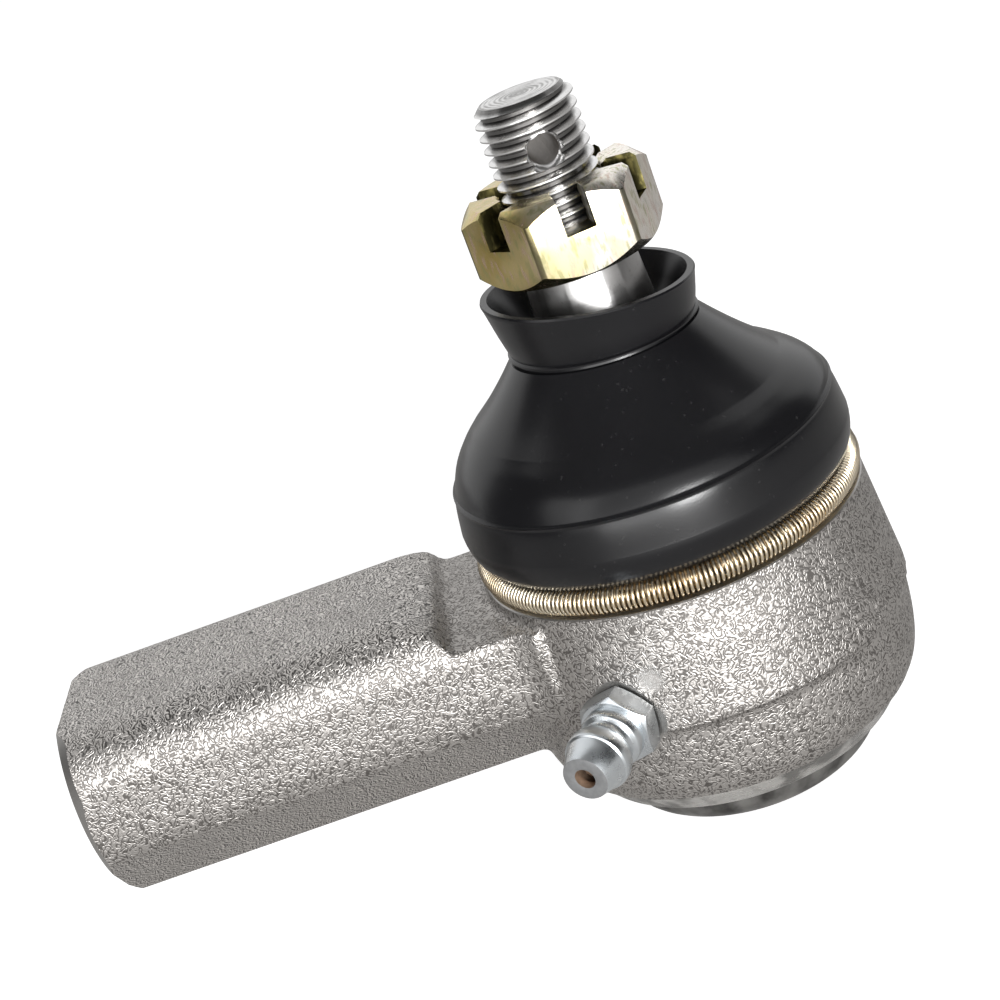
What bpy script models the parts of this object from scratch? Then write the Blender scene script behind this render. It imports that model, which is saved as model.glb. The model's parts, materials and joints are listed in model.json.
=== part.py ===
"""Tie rod end: a ball stud that swings in a forged socket with a threaded shank.

Metres, +Z up along the stud. The origin is the middle of the closing plate's flat foot, and the shank runs
along -X.
"""
import math

import bmesh
import bpy
from mathutils import Matrix, Vector

# Fits that many pieces share
CLEARANCE = 0.0003
TURNED_STEPS = 48
STUD_STEPS = 36
SMALL_STEPS = 24

# Ball stud, from its ball upwards
BALL_RADIUS = 0.01125
NECK_RADIUS = 0.0057
NECK_CHAMFER = 0.0025
TAPER_FOOT_ABOVE_CENTRE = 0.0215
TAPER_LENGTH = 0.0150
TAPER_SMALL_RADIUS = 0.0057
TAPER_SLOPE = 1 / 16
THREAD_RADIUS = 0.0050
THREAD_LENGTH = 0.0170
THREAD_CHAMFER = 0.0009
COTTER_HOLE_RADIUS = 0.0016
COTTER_HOLE_BELOW_TOP = 0.0049
COTTER_SINK_DEPTH = 0.0006
COTTER_AZIMUTH = math.radians(-84)

# Castle nut
NUT_ACROSS_FLATS = 0.0170
NUT_HEIGHT = 0.0078
NUT_SLOT_WIDTH = 0.0030
NUT_SLOT_DEPTH = 0.0036
NUT_TOP_CHAMFER = math.radians(45)
NUT_FOOT_CHAMFER = math.radians(35)
NUT_TOP_RADIUS = 0.0068
NUT_FOOT_INSET = 0.0002
NUT_FACE_AZIMUTH = math.radians(-81.5)

# Ball seats
SEAT_WALL = 0.0027
SEAT_FLOOR = 0.0018
SEAT_HOLD_HEIGHT = 0.0062
SEAT_SHOULDER_HEIGHT = 0.0027
SEAT_TOP_WIDTH = 0.0013
SEAT_GREASE_HOLE_RADIUS = 0.0021

# Preload spring
SPRING_SPACE = 0.00665
SPRING_WIRE_RADIUS = 0.0008
SPRING_COIL_RADIUS = 0.0071
SPRING_TURNS = 2

# Closing plate
PLATE_THICKNESS = 0.0020
PLATE_DISH_RADIUS = 0.0147
PLATE_CORNER_RADIUS = 0.0036
PLATE_FLANGE_WIDTH = 0.0014
PLATE_FLANGE_THICKNESS = 0.0017
PLATE_HEIGHT = 0.0073

# Socket housing, turned part
BODY_WALL = 0.0070
RIM_ABOVE_CENTRE = 0.00675
RIM_CHAMFER = 0.0007
RIM_RADIUS = 0.0202
CREASE_BELOW_CENTRE = 0.0052
FOOT_BEYOND_PLATE = 0.0032
BODY_FOOT_Z = 0.0077
LIP_STEP = 0.0004
LIP_BEYOND_DISH = 0.0019
LIP_FOOT_Z = 0.0044
BOOT_SEAT_RADIUS = 0.0158
BOOT_SEAT_HEIGHT = 0.0042
MOUTH_RADIUS = 0.0100
MOUTH_FLARE = 0.0012

# Socket housing, shank
SHANK_RADIUS = 0.0121
SHANK_TOP_ABOVE_AXIS = 0.0098
SHANK_SHOULDER_RADIUS = 0.0054
SHANK_LENGTH = 0.0665
SHANK_CHAMFER = 0.0007
SHANK_FILLET_RADIUS = 0.0050
SHANK_CREASE_ANGLE = math.radians(18)
SHANK_FLAT_END_ANGLE = math.radians(62)
SHANK_FOOT_WIDTH = 0.0075
PAD_BELOW_RIM = 0.0007
PAD_STEP_X = -0.0265
DROOP_LENGTH = 0.0060
DROOP_RADIUS = 0.0140
STEP_EDGE_RADIUS = 0.0012
ROD_BORE_RADIUS = 0.0062
ROD_BORE_DEPTH = 0.0375
ROD_BORE_CHAMFER = 0.0010

# Dust boot
BOOT_WALL = 0.0017
BOOT_BULGE_RADIUS = 0.0205
BOOT_BULGE_ABOVE_SEAT = 0.0056
BOOT_EDGE_RADIUS = 0.0188
BOOT_NECK_RADIUS = 0.0098
BOOT_NECK_ABOVE_SEAT = 0.0208
BOOT_DOME_POWER = 1.45
BOOT_COLLAR_STEP = 0.0004
BOOT_COLLAR_HEIGHT = 0.0054
BOOT_LIP_RADIUS = 0.0101
BOOT_LIP_THICKNESS = 0.0007
BOOT_SEAL_HEIGHT = 0.0032

# Steel ring in the boot's small end
NECK_RING_WIDTH = 0.0011
NECK_RING_HEIGHT = 0.0012

# Garter spring round the boot's base
GARTER_COIL_RADIUS = 0.0012
GARTER_WIRE_RADIUS = 0.00035
GARTER_CURLS = 66
GARTER_POINTS_PER_CURL = 8
GARTER_END_AZIMUTH = math.radians(90)

# Grease nipple, along its own axis outwards from its seat
NIPPLE_AZIMUTH = math.radians(-120.5)
NIPPLE_BELOW_CENTRE = 0.0034
NIPPLE_SEAT_RADIUS = 0.0209
NIPPLE_SPOT_RADIUS = 0.0044
NIPPLE_THREAD_RADIUS = 0.0030
NIPPLE_THREAD_TO_CAVITY = 0.0011
NIPPLE_HEX_ACROSS_FLATS = 0.0070
NIPPLE_HEX_HEIGHT = 0.0024
NIPPLE_COLLAR_RADIUS = 0.0031
NIPPLE_COLLAR_LENGTH = 0.0015
NIPPLE_GROOVE_RADIUS = 0.0025
NIPPLE_GROOVE_LENGTH = 0.0010
NIPPLE_HEAD_RADIUS = 0.00325
NIPPLE_HEAD_LENGTH = 0.0048
NIPPLE_TIP_RADIUS = 0.0024
NIPPLE_TIP_HOLE_RADIUS = 0.00115
NIPPLE_TIP_HOLE_DEPTH = 0.0010
CHECK_BALL_RADIUS = 0.00135
CHECK_SPRING_LENGTH = 0.0045
CHECK_SPRING_WIRE_RADIUS = 0.00015
CHECK_SPRING_TURNS = 5

# Heights and radii that follow from the sizes above
SEAT_BASE_Z = PLATE_THICKNESS + SPRING_SPACE
BALL_CENTRE_Z = SEAT_BASE_Z + SEAT_FLOOR + CLEARANCE + BALL_RADIUS
SOCKET_RADIUS = BALL_RADIUS + CLEARANCE
SEAT_RADIUS = SOCKET_RADIUS + SEAT_WALL
CAVITY_RADIUS = SEAT_RADIUS + CLEARANCE
BODY_RADIUS = CAVITY_RADIUS + BODY_WALL
PLATE_RADIUS = PLATE_DISH_RADIUS + PLATE_FLANGE_WIDTH
BODY_FOOT_RADIUS = PLATE_RADIUS + FOOT_BEYOND_PLATE
LIP_EDGE_RADIUS = PLATE_DISH_RADIUS + LIP_BEYOND_DISH
RIM_Z = BALL_CENTRE_Z + RIM_ABOVE_CENTRE
BOOT_SEAT_TOP_Z = RIM_Z + BOOT_SEAT_HEIGHT
CREASE_Z = BALL_CENTRE_Z - CREASE_BELOW_CENTRE
PAD_Z = RIM_Z - PAD_BELOW_RIM
TAPER_FOOT_Z = BALL_CENTRE_Z + TAPER_FOOT_ABOVE_CENTRE
TAPER_TOP_Z = TAPER_FOOT_Z + TAPER_LENGTH
STUD_TOP_Z = TAPER_TOP_Z + THREAD_LENGTH
NUT_FOOT_Z = TAPER_TOP_Z + CLEARANCE
BOOT_BEAD_RADIUS = BOOT_SEAT_RADIUS + CLEARANCE + BOOT_WALL * 0.72
GARTER_RING_RADIUS = BOOT_BEAD_RADIUS + CLEARANCE + GARTER_COIL_RADIUS
GARTER_Z = RIM_Z + 2 * CLEARANCE + GARTER_COIL_RADIUS
BOOT_EDGE_Z = GARTER_Z + GARTER_COIL_RADIUS + CLEARANCE
BOOT_BULGE_Z = RIM_Z + BOOT_BULGE_ABOVE_SEAT
BOOT_NECK_Z = RIM_Z + BOOT_NECK_ABOVE_SEAT


def empty_scene():
    """Leaves the file with no objects and with the two collections that this model fills."""
    for old in list(bpy.data.objects):
        bpy.data.objects.remove(old, do_unlink=True)
    made = []
    for name in ("tie_rod_end", "cutters"):
        collection = bpy.data.collections.new(name)
        bpy.context.scene.collection.children.link(collection)
        made.append(collection)
    return made


parts, cutters = empty_scene()


def add_object(name, data, parent=None, location=(0, 0, 0)):
    """Links an object to the parts, placed by its location under its parent."""
    made = bpy.data.objects.new(name, data)
    parts.objects.link(made)
    made.parent = parent
    made.location = location
    return made


def as_cutter(tool):
    """Moves an object to the cutters, where it shows as wire and isn't part of the model."""
    parts.objects.unlink(tool)
    cutters.objects.link(tool)
    tool.hide_render = True
    tool.display_type = "WIRE"
    return tool


def finish(piece, colour, roughness, metallic):
    """Gives a piece its own material."""
    material = bpy.data.materials.new(piece.name)
    material.use_nodes = True
    shader = material.node_tree.nodes["Principled BSDF"]
    shader.inputs["Base Color"].default_value = (*colour, 1)
    shader.inputs["Roughness"].default_value = roughness
    shader.inputs["Metallic"].default_value = metallic
    piece.data.materials.append(material)
    return piece


def turned(name, profile, steps, parent=None, location=(0, 0, 0), ring=False):
    """Turns a profile of (radius, height) points about Z; its outer side runs from top to bottom."""
    mesh = bpy.data.meshes.new(name)
    points = [(radius, 0, height) for radius, height in profile]
    edges = [(i, i + 1) for i in range(len(points) - 1)]
    if ring:
        edges.append((len(points) - 1, 0))
    mesh.from_pydata(points, edges, [])
    made = add_object(name, mesh, parent, location)
    screw = made.modifiers.new("turn", "SCREW")
    screw.axis = "Z"
    screw.angle = math.tau
    screw.steps = steps
    screw.render_steps = steps
    screw.use_merge_vertices = True
    screw.merge_threshold = 0.00001
    screw.use_smooth_shade = True
    return made


def hexagon(name, across_flats, height, face_azimuth, parent=None, location=(0, 0, 0)):
    """A hexagonal prism that stands on its location, with one face towards face_azimuth."""
    mesh = bpy.data.meshes.new(name)
    corner_radius = across_flats / math.sqrt(3)
    form = bmesh.new()
    radii = {"radius1": corner_radius, "radius2": corner_radius}
    bmesh.ops.create_cone(form, cap_ends=True, segments=6, depth=height, **radii)
    first = max(form.verts, key=lambda v: v.co.x)
    corner_azimuth = math.atan2(first.co.y, first.co.x)
    turn = Matrix.Rotation(face_azimuth + math.radians(30) - corner_azimuth, 4, "Z")
    bmesh.ops.transform(form, matrix=Matrix.Translation((0, 0, height / 2)) @ turn, verts=form.verts)
    form.to_mesh(mesh)
    form.free()
    return add_object(name, mesh, parent, location)


def box(name, low, high, azimuth=0, parent=None, location=(0, 0, 0)):
    """A box between two corners, turned by its azimuth about Z."""
    mesh = bpy.data.meshes.new(name)
    form = bmesh.new()
    bmesh.ops.create_cube(form, size=1)
    low = Vector(low)
    high = Vector(high)
    size = Matrix.Diagonal((*(high - low), 1))
    place = Matrix.Rotation(azimuth, 4, "Z") @ Matrix.Translation((low + high) / 2)
    bmesh.ops.transform(form, matrix=place @ size, verts=form.verts)
    form.to_mesh(mesh)
    form.free()
    return add_object(name, mesh, parent, location)


def wire(name, points, radius, parent=None, location=(0, 0, 0)):
    """A round wire along points, with closed ends."""
    curve = bpy.data.curves.new(name, "CURVE")
    curve.dimensions = "3D"
    curve.bevel_depth = radius
    curve.bevel_resolution = 1
    curve.use_fill_caps = True
    spline = curve.splines.new("POLY")
    spline.points.add(len(points) - 1)
    for place, point in zip(spline.points, points):
        place.co = (*point, 1)
    made = add_object(name, curve, parent, location)
    weld = made.modifiers.new("close the ends", "WELD")
    weld.merge_threshold = 0.000001
    return made


def cut(piece, tool, operation="DIFFERENCE"):
    """Cuts a piece with a tool, joins them or keeps what they share."""
    step = piece.modifiers.new(tool.name, "BOOLEAN")
    step.operation = operation
    step.solver = "EXACT"
    step.object = as_cutter(tool)


def arc(centre, radius, start, end, steps):
    """Points (radius, height) of an arc from one angle to another, in degrees."""
    points = []
    for i in range(steps + 1):
        angle = math.radians(start + (end - start) * i / steps)
        points.append((centre[0] + radius * math.cos(angle), centre[1] + radius * math.sin(angle)))
    return points


def least_gap(points, radius, skip):
    """The least gap between the surfaces of a wire's stretches that are over skip points apart."""
    least = math.inf
    for i, point in enumerate(points):
        for other in points[i + skip:]:
            least = min(least, (Vector(point) - Vector(other)).length)
    return least - 2 * radius


def pivot(name, location, rotation=(0, 0, 0)):
    """An empty that marks a joint's place and carries the pieces that move there."""
    made = add_object(name, None, None, location)
    made.rotation_euler = rotation
    made.empty_display_size = 0.01
    return made


# The ball's centre is where the stud leans, swings and turns
ball_centre = pivot("ball_centre", (0, 0, BALL_CENTRE_Z))


def taper_radius(z):
    """Radius of the stud's taper at a height."""
    return TAPER_SMALL_RADIUS + (TAPER_TOP_Z - z) * TAPER_SLOPE


def make_ball_stud():
    """Turned and rolled steel stud: ball, neck, taper and threaded end, with a hole for a cotter pin."""
    top = STUD_TOP_Z - BALL_CENTRE_Z
    taper_top = TAPER_TOP_Z - BALL_CENTRE_Z
    taper_foot = TAPER_FOOT_Z - BALL_CENTRE_Z
    neck_angle = math.degrees(math.acos(NECK_RADIUS / BALL_RADIUS))
    foot_angle = -76
    profile = [(0, top), (THREAD_RADIUS - THREAD_CHAMFER, top), (THREAD_RADIUS, top - THREAD_CHAMFER)]
    profile += [(THREAD_RADIUS, taper_top), (TAPER_SMALL_RADIUS, taper_top)]
    profile += [(taper_radius(TAPER_FOOT_Z), taper_foot), (NECK_RADIUS, taper_foot - NECK_CHAMFER)]
    profile += arc((0, 0), BALL_RADIUS, neck_angle, foot_angle, 12)
    profile += [(0, profile[-1][1])]
    stud = turned("ball_stud", profile, STUD_STEPS, ball_centre)
    hole_height = top - COTTER_HOLE_BELOW_TOP
    reach = THREAD_RADIUS + 2 * COTTER_SINK_DEPTH
    sink = THREAD_RADIUS - COTTER_SINK_DEPTH
    flare = COTTER_HOLE_RADIUS + reach - sink
    drill = [(0, reach), (flare, reach), (COTTER_HOLE_RADIUS, sink)]
    drill += [(COTTER_HOLE_RADIUS, -sink), (flare, -reach), (0, -reach)]
    hole = turned("cotter_hole", drill, SMALL_STEPS, ball_centre, (0, 0, hole_height))
    hole.rotation_euler = (math.radians(90), 0, COTTER_AZIMUTH + math.radians(90))
    cut(stud, hole)
    return finish(stud, (0.56, 0.55, 0.53), 0.28, 1)


def make_castle_nut():
    """Hexagon nut with six slots in its top, chamfered at both ends, at the end of the thread."""
    foot = NUT_FOOT_Z - BALL_CENTRE_Z
    nut = hexagon("castle_nut", NUT_ACROSS_FLATS, NUT_HEIGHT, NUT_FACE_AZIMUTH, ball_centre, (0, 0, foot))
    foot_radius = NUT_ACROSS_FLATS / 2 - NUT_FOOT_INSET
    wide = NUT_ACROSS_FLATS / math.sqrt(3) + CLEARANCE
    top_drop = (wide - NUT_TOP_RADIUS) * math.tan(NUT_TOP_CHAMFER)
    foot_rise = (wide - foot_radius) * math.tan(NUT_FOOT_CHAMFER)
    blank = [(0, NUT_HEIGHT), (NUT_TOP_RADIUS, NUT_HEIGHT), (wide, NUT_HEIGHT - top_drop)]
    blank += [(wide, foot_rise), (foot_radius, 0), (0, 0)]
    cut(nut, turned("nut_chamfers", blank, TURNED_STEPS, ball_centre, (0, 0, foot)), "INTERSECT")
    bore = THREAD_RADIUS + CLEARANCE
    over = NUT_HEIGHT * 0.1
    drill = [(0, NUT_HEIGHT + over), (bore, NUT_HEIGHT + over), (bore, -over), (0, -over)]
    cut(nut, turned("nut_bore", drill, STUD_STEPS, ball_centre, (0, 0, foot)))
    for i in range(3):
        low = (-NUT_ACROSS_FLATS, -NUT_SLOT_WIDTH / 2, NUT_HEIGHT - NUT_SLOT_DEPTH)
        high = (NUT_ACROSS_FLATS, NUT_SLOT_WIDTH / 2, NUT_HEIGHT + over)
        azimuth = NUT_FACE_AZIMUTH + i * math.radians(60)
        cut(nut, box("nut_slot_%d" % (i + 1), low, high, azimuth, ball_centre, (0, 0, foot)))
    return finish(nut, (0.78, 0.66, 0.36), 0.32, 1)


def seat_arc(low, high):
    """Points of the seats' ball socket between two heights over the ball's centre, from high to low."""
    start = math.degrees(math.asin(high / SOCKET_RADIUS))
    end = math.degrees(math.asin(low / SOCKET_RADIUS))
    return arc((0, 0), SOCKET_RADIUS, start, end, 6)


def make_upper_ball_seat():
    """Plastic ring over the ball's upper half, held under the housing's inner cone."""
    socket = seat_arc(CLEARANCE / 2, SEAT_HOLD_HEIGHT)
    top_radius = socket[0][0] + SEAT_TOP_WIDTH
    profile = [(top_radius, SEAT_HOLD_HEIGHT), (SEAT_RADIUS, SEAT_SHOULDER_HEIGHT)]
    profile += [(SEAT_RADIUS, CLEARANCE / 2)] + socket[::-1]
    seat = turned("upper_ball_seat", profile, STUD_STEPS, None, (0, 0, BALL_CENTRE_Z), ring=True)
    return finish(seat, (0.82, 0.80, 0.72), 0.45, 0)


def make_lower_ball_seat():
    """Plastic cup under the ball, pushed up by the preload spring, with a grease hole in its floor."""
    floor = SEAT_BASE_Z - BALL_CENTRE_Z
    hole_height = -math.sqrt(SOCKET_RADIUS ** 2 - SEAT_GREASE_HOLE_RADIUS ** 2)
    socket = seat_arc(hole_height, -CLEARANCE / 2)
    profile = [(SEAT_RADIUS, -CLEARANCE / 2), (SEAT_RADIUS, floor + SEAT_FLOOR)]
    profile += [(SEAT_RADIUS - SEAT_FLOOR, floor), (SEAT_GREASE_HOLE_RADIUS, floor)] + socket[::-1]
    seat = turned("lower_ball_seat", profile, STUD_STEPS, None, (0, 0, BALL_CENTRE_Z), ring=True)
    return finish(seat, (0.82, 0.80, 0.72), 0.45, 0)


def helix(radius, low, high, turns, points_per_turn):
    """Points of a helix about Z between two heights."""
    count = turns * points_per_turn
    points = []
    for i in range(count + 1):
        angle = math.tau * i / points_per_turn
        height = low + (high - low) * i / count
        points.append((radius * math.cos(angle), radius * math.sin(angle), height))
    return points


def make_preload_spring():
    """Coil spring on the closing plate that keeps the lower seat against the ball."""
    low = PLATE_THICKNESS + CLEARANCE + SPRING_WIRE_RADIUS
    high = SEAT_BASE_Z - CLEARANCE - SPRING_WIRE_RADIUS
    points = helix(SPRING_COIL_RADIUS, low, high, SPRING_TURNS, 16)
    print("preload spring, least gap in mm:", round(least_gap(points, SPRING_WIRE_RADIUS, 8) * 1000, 3))
    return finish(wire("preload_spring", points, SPRING_WIRE_RADIUS), (0.35, 0.35, 0.36), 0.4, 1)


def make_closing_plate():
    """Pressed steel dish with a flat foot and a flange that the housing's lip is rolled over."""
    corner = PLATE_CORNER_RADIUS
    inner_corner = max(corner - PLATE_THICKNESS, CLEARANCE)
    wall = PLATE_DISH_RADIUS - PLATE_THICKNESS
    flange_foot = PLATE_HEIGHT - PLATE_FLANGE_THICKNESS
    profile = [(0, PLATE_THICKNESS)]
    profile += arc((wall - inner_corner, PLATE_THICKNESS + inner_corner), inner_corner, -90, 0, 3)
    profile += [(wall, PLATE_HEIGHT), (PLATE_RADIUS, PLATE_HEIGHT), (PLATE_RADIUS, flange_foot)]
    profile += [(PLATE_DISH_RADIUS, flange_foot)]
    profile += arc((PLATE_DISH_RADIUS - corner, corner), corner, 0, -90, 5)
    profile += [(0, 0)]
    plate = turned("closing_plate", profile, TURNED_STEPS)
    # Half a step round, like its cavity, so that the part leans on a flat of its edge and not on a corner
    plate.rotation_euler = (0, 0, math.pi / TURNED_STEPS)
    return finish(plate, (0.42, 0.40, 0.38), 0.35, 1)


def quarter(start, end, steps, power=2.0):
    """A quarter of a superellipse that leaves its start upright and reaches its end level."""
    points = []
    for i in range(steps + 1):
        angle = math.radians(90) * i / steps
        along = math.cos(angle) ** (2 / power)
        up = math.sin(angle) ** (2 / power)
        points.append((end[0] + (start[0] - end[0]) * along, start[1] + (end[1] - start[1]) * up))
    return points


def make_housing_body():
    """The socket's outer form: seat for the boot, rim, drafted wall down to the crease, rolled lip."""
    seat_chamfer = RIM_CHAMFER / 2
    profile = [(0, BOOT_SEAT_TOP_Z), (BOOT_SEAT_RADIUS - seat_chamfer, BOOT_SEAT_TOP_Z)]
    profile += [(BOOT_SEAT_RADIUS, BOOT_SEAT_TOP_Z - seat_chamfer), (BOOT_SEAT_RADIUS, RIM_Z)]
    profile += [(RIM_RADIUS - RIM_CHAMFER, RIM_Z), (RIM_RADIUS, RIM_Z - RIM_CHAMFER)]
    profile += quarter((BODY_RADIUS, CREASE_Z), (BODY_FOOT_RADIUS, BODY_FOOT_Z), 5)
    profile += [(BODY_FOOT_RADIUS - LIP_STEP, BODY_FOOT_Z), (LIP_EDGE_RADIUS, LIP_FOOT_Z), (0, LIP_FOOT_Z)]
    return turned("socket_housing", profile, TURNED_STEPS)


def shank_section(x, widen, deepen):
    """Points of the shank's outline at one place: flat on top, two flats under its creases, a narrow foot."""
    crease = math.degrees(SHANK_CREASE_ANGLE)
    flat_end = math.degrees(SHANK_FLAT_END_ANGLE)
    foot = math.degrees(math.acos(SHANK_FOOT_WIDTH / 2 / SHANK_RADIUS))
    shoulder = (SHANK_RADIUS - SHANK_SHOULDER_RADIUS, SHANK_TOP_ABOVE_AXIS - SHANK_SHOULDER_RADIUS)
    half = arc((0, 0), SHANK_RADIUS, -foot, -flat_end, 2) + arc((0, 0), SHANK_RADIUS, -crease, 0, 2)
    half += arc(shoulder, SHANK_SHOULDER_RADIUS, 0, 90, 5)
    outline = half + [(-across, up) for across, up in reversed(half)]
    wider = 1 + widen / SHANK_RADIUS
    deeper = 1 + deepen / SHANK_RADIUS
    points = []
    for across, up in outline:
        points.append((x, across * wider, BALL_CENTRE_Z + up * (wider if up > 0 else deeper)))
    return points


def make_shank():
    """Forged shank, lofted from its chamfered end to the fillet where it runs into the socket."""
    fillet = SHANK_FILLET_RADIUS
    across = SHANK_RADIUS + fillet
    fillet_x = -math.sqrt((BODY_RADIUS + fillet) ** 2 - across ** 2)
    fillet_end = fillet_x * BODY_RADIUS / (BODY_RADIUS + fillet)
    fillet_steps = 5
    sections = [(-SHANK_LENGTH, -SHANK_CHAMFER), (-SHANK_LENGTH + SHANK_CHAMFER, 0)]
    for i in range(fillet_steps + 1):
        x = fillet_x + (fillet_end - fillet_x) * i / fillet_steps
        sections.append((x, fillet - math.sqrt(fillet ** 2 - (x - fillet_x) ** 2)))
    sections.append((fillet_end * 0.8, 0))
    mesh = bpy.data.meshes.new("shank")
    form = bmesh.new()
    rings = []
    for x, widen in sections:
        rings.append([form.verts.new(point) for point in shank_section(x, widen, widen * 0.7)])
    count = len(rings[0])
    for near, far in zip(rings, rings[1:]):
        for i in range(count):
            j = (i + 1) % count
            form.faces.new((near[i], near[j], far[j], far[i]))
    form.faces.new(rings[0])
    form.faces.new(rings[-1])
    bmesh.ops.recalc_face_normals(form, faces=form.faces)
    form.to_mesh(mesh)
    form.free()
    return add_object("shank", mesh)


def make_pad_cutter():
    """What is forged away above the pad: level at the pad, a step up, a droop from the shank's top."""
    crown = BALL_CENTRE_Z + SHANK_TOP_ABOVE_AXIS
    over = SHANK_RADIUS
    start = PAD_STEP_X - DROOP_LENGTH
    droop = (start, crown + CLEARANCE - DROOP_RADIUS)
    turn = math.acos(DROOP_LENGTH / DROOP_RADIUS)
    inner = DROOP_RADIUS - STEP_EDGE_RADIUS
    edge = (droop[0] + inner * math.cos(turn), droop[1] + inner * math.sin(turn))
    outline = [(0, PAD_Z), (0, crown + over), (start - over, crown + over), (start - over, crown + CLEARANCE)]
    outline += arc(droop, DROOP_RADIUS, 90, math.degrees(turn), 4)
    outline += arc(edge, STEP_EDGE_RADIUS, math.degrees(turn), 10, 4)[1:]
    outline += [(edge[0] + 1.3 * STEP_EDGE_RADIUS, PAD_Z)]
    curve = bpy.data.curves.new("pad_cutter", "CURVE")
    curve.dimensions = "2D"
    curve.fill_mode = "BOTH"
    curve.extrude = 2 * SHANK_RADIUS
    spline = curve.splines.new("POLY")
    spline.points.add(len(outline) - 1)
    for place, (x, z) in zip(spline.points, outline):
        place.co = (x, z, 0, 1)
    spline.use_cyclic_u = True
    flat = add_object("pad_outline", curve)
    flat.rotation_euler = (math.radians(90), 0, 0)
    bpy.context.view_layer.update()
    evaluated = flat.evaluated_get(bpy.context.evaluated_depsgraph_get())
    mesh = bpy.data.meshes.new_from_object(evaluated)
    form = bmesh.new()
    form.from_mesh(mesh)
    bmesh.ops.remove_doubles(form, verts=form.verts, dist=0.000001)
    bmesh.ops.recalc_face_normals(form, faces=form.faces)
    form.to_mesh(mesh)
    form.free()
    solid = add_object("pad_cutter", mesh)
    solid.matrix_world = flat.matrix_world
    bpy.data.objects.remove(flat, do_unlink=True)
    return solid


# The nipple's axis: local +Z runs outwards from the nipple's seat on the housing
nipple_axis = pivot(
    "nipple_axis",
    (NIPPLE_SEAT_RADIUS * math.cos(NIPPLE_AZIMUTH), NIPPLE_SEAT_RADIUS * math.sin(NIPPLE_AZIMUTH),
     BALL_CENTRE_Z - NIPPLE_BELOW_CENTRE),
    (math.radians(90), 0, NIPPLE_AZIMUTH + math.radians(90)),
)


def make_socket_housing():
    """Forged steel housing: socket and shank in one, bored for the ball, the tie rod and the nipple."""
    housing = make_housing_body()
    shank = make_shank()
    cut(shank, make_pad_cutter())
    cut(housing, shank, "UNION")
    over = LIP_FOOT_Z
    ledge_radius = PLATE_RADIUS + CLEARANCE
    ledge_z = PLATE_HEIGHT + CLEARANCE
    lip_top = PLATE_HEIGHT - PLATE_FLANGE_THICKNESS - CLEARANCE
    lip_radius = PLATE_DISH_RADIUS + 2 * CLEARANCE
    shoulder_z = BALL_CENTRE_Z + SEAT_SHOULDER_HEIGHT + CLEARANCE
    seat_top_z = BALL_CENTRE_Z + SEAT_HOLD_HEIGHT + CLEARANCE
    cone_top = math.sqrt(SOCKET_RADIUS ** 2 - SEAT_HOLD_HEIGHT ** 2) + SEAT_TOP_WIDTH + CLEARANCE
    mouth_top = MOUTH_RADIUS + MOUTH_FLARE
    flare_step = MOUTH_FLARE * over / (BOOT_SEAT_TOP_Z - seat_top_z)
    bore = [(0, BOOT_SEAT_TOP_Z + over), (mouth_top + flare_step, BOOT_SEAT_TOP_Z + over)]
    bore += [(MOUTH_RADIUS, seat_top_z), (cone_top, seat_top_z), (CAVITY_RADIUS, shoulder_z)]
    bore += [(CAVITY_RADIUS, ledge_z), (ledge_radius, ledge_z), (ledge_radius, lip_top)]
    bore += [(lip_radius, lip_top), (lip_radius, LIP_FOOT_Z - over), (0, LIP_FOOT_Z - over)]
    cavity = turned("ball_cavity", bore, TURNED_STEPS)
    # Half a step round, so that no edge of the cavity lies across an edge of the body
    cavity.rotation_euler = (0, 0, math.pi / TURNED_STEPS)
    cut(housing, cavity)
    depth = ROD_BORE_DEPTH
    mouth = ROD_BORE_RADIUS + ROD_BORE_CHAMFER
    drill = [(0, over), (mouth + over, over), (ROD_BORE_RADIUS, -ROD_BORE_CHAMFER), (ROD_BORE_RADIUS, -depth)]
    drill += [(0, -depth - ROD_BORE_RADIUS / 2)]
    rod_bore = turned("rod_bore", drill, STUD_STEPS, None, (-SHANK_LENGTH, 0, BALL_CENTRE_Z))
    rod_bore.rotation_euler = (0, math.radians(-90), 0)
    cut(housing, rod_bore)
    spot = NIPPLE_SPOT_RADIUS
    tapped = NIPPLE_THREAD_RADIUS + CLEARANCE
    inside = CAVITY_RADIUS - NIPPLE_SEAT_RADIUS - over
    drill = [(0, over), (spot, over), (spot, 0), (tapped, 0), (tapped, inside), (0, inside)]
    cut(housing, turned("nipple_hole", drill, SMALL_STEPS, nipple_axis))
    return finish(housing, (0.30, 0.29, 0.27), 0.5, 0.9)


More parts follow.
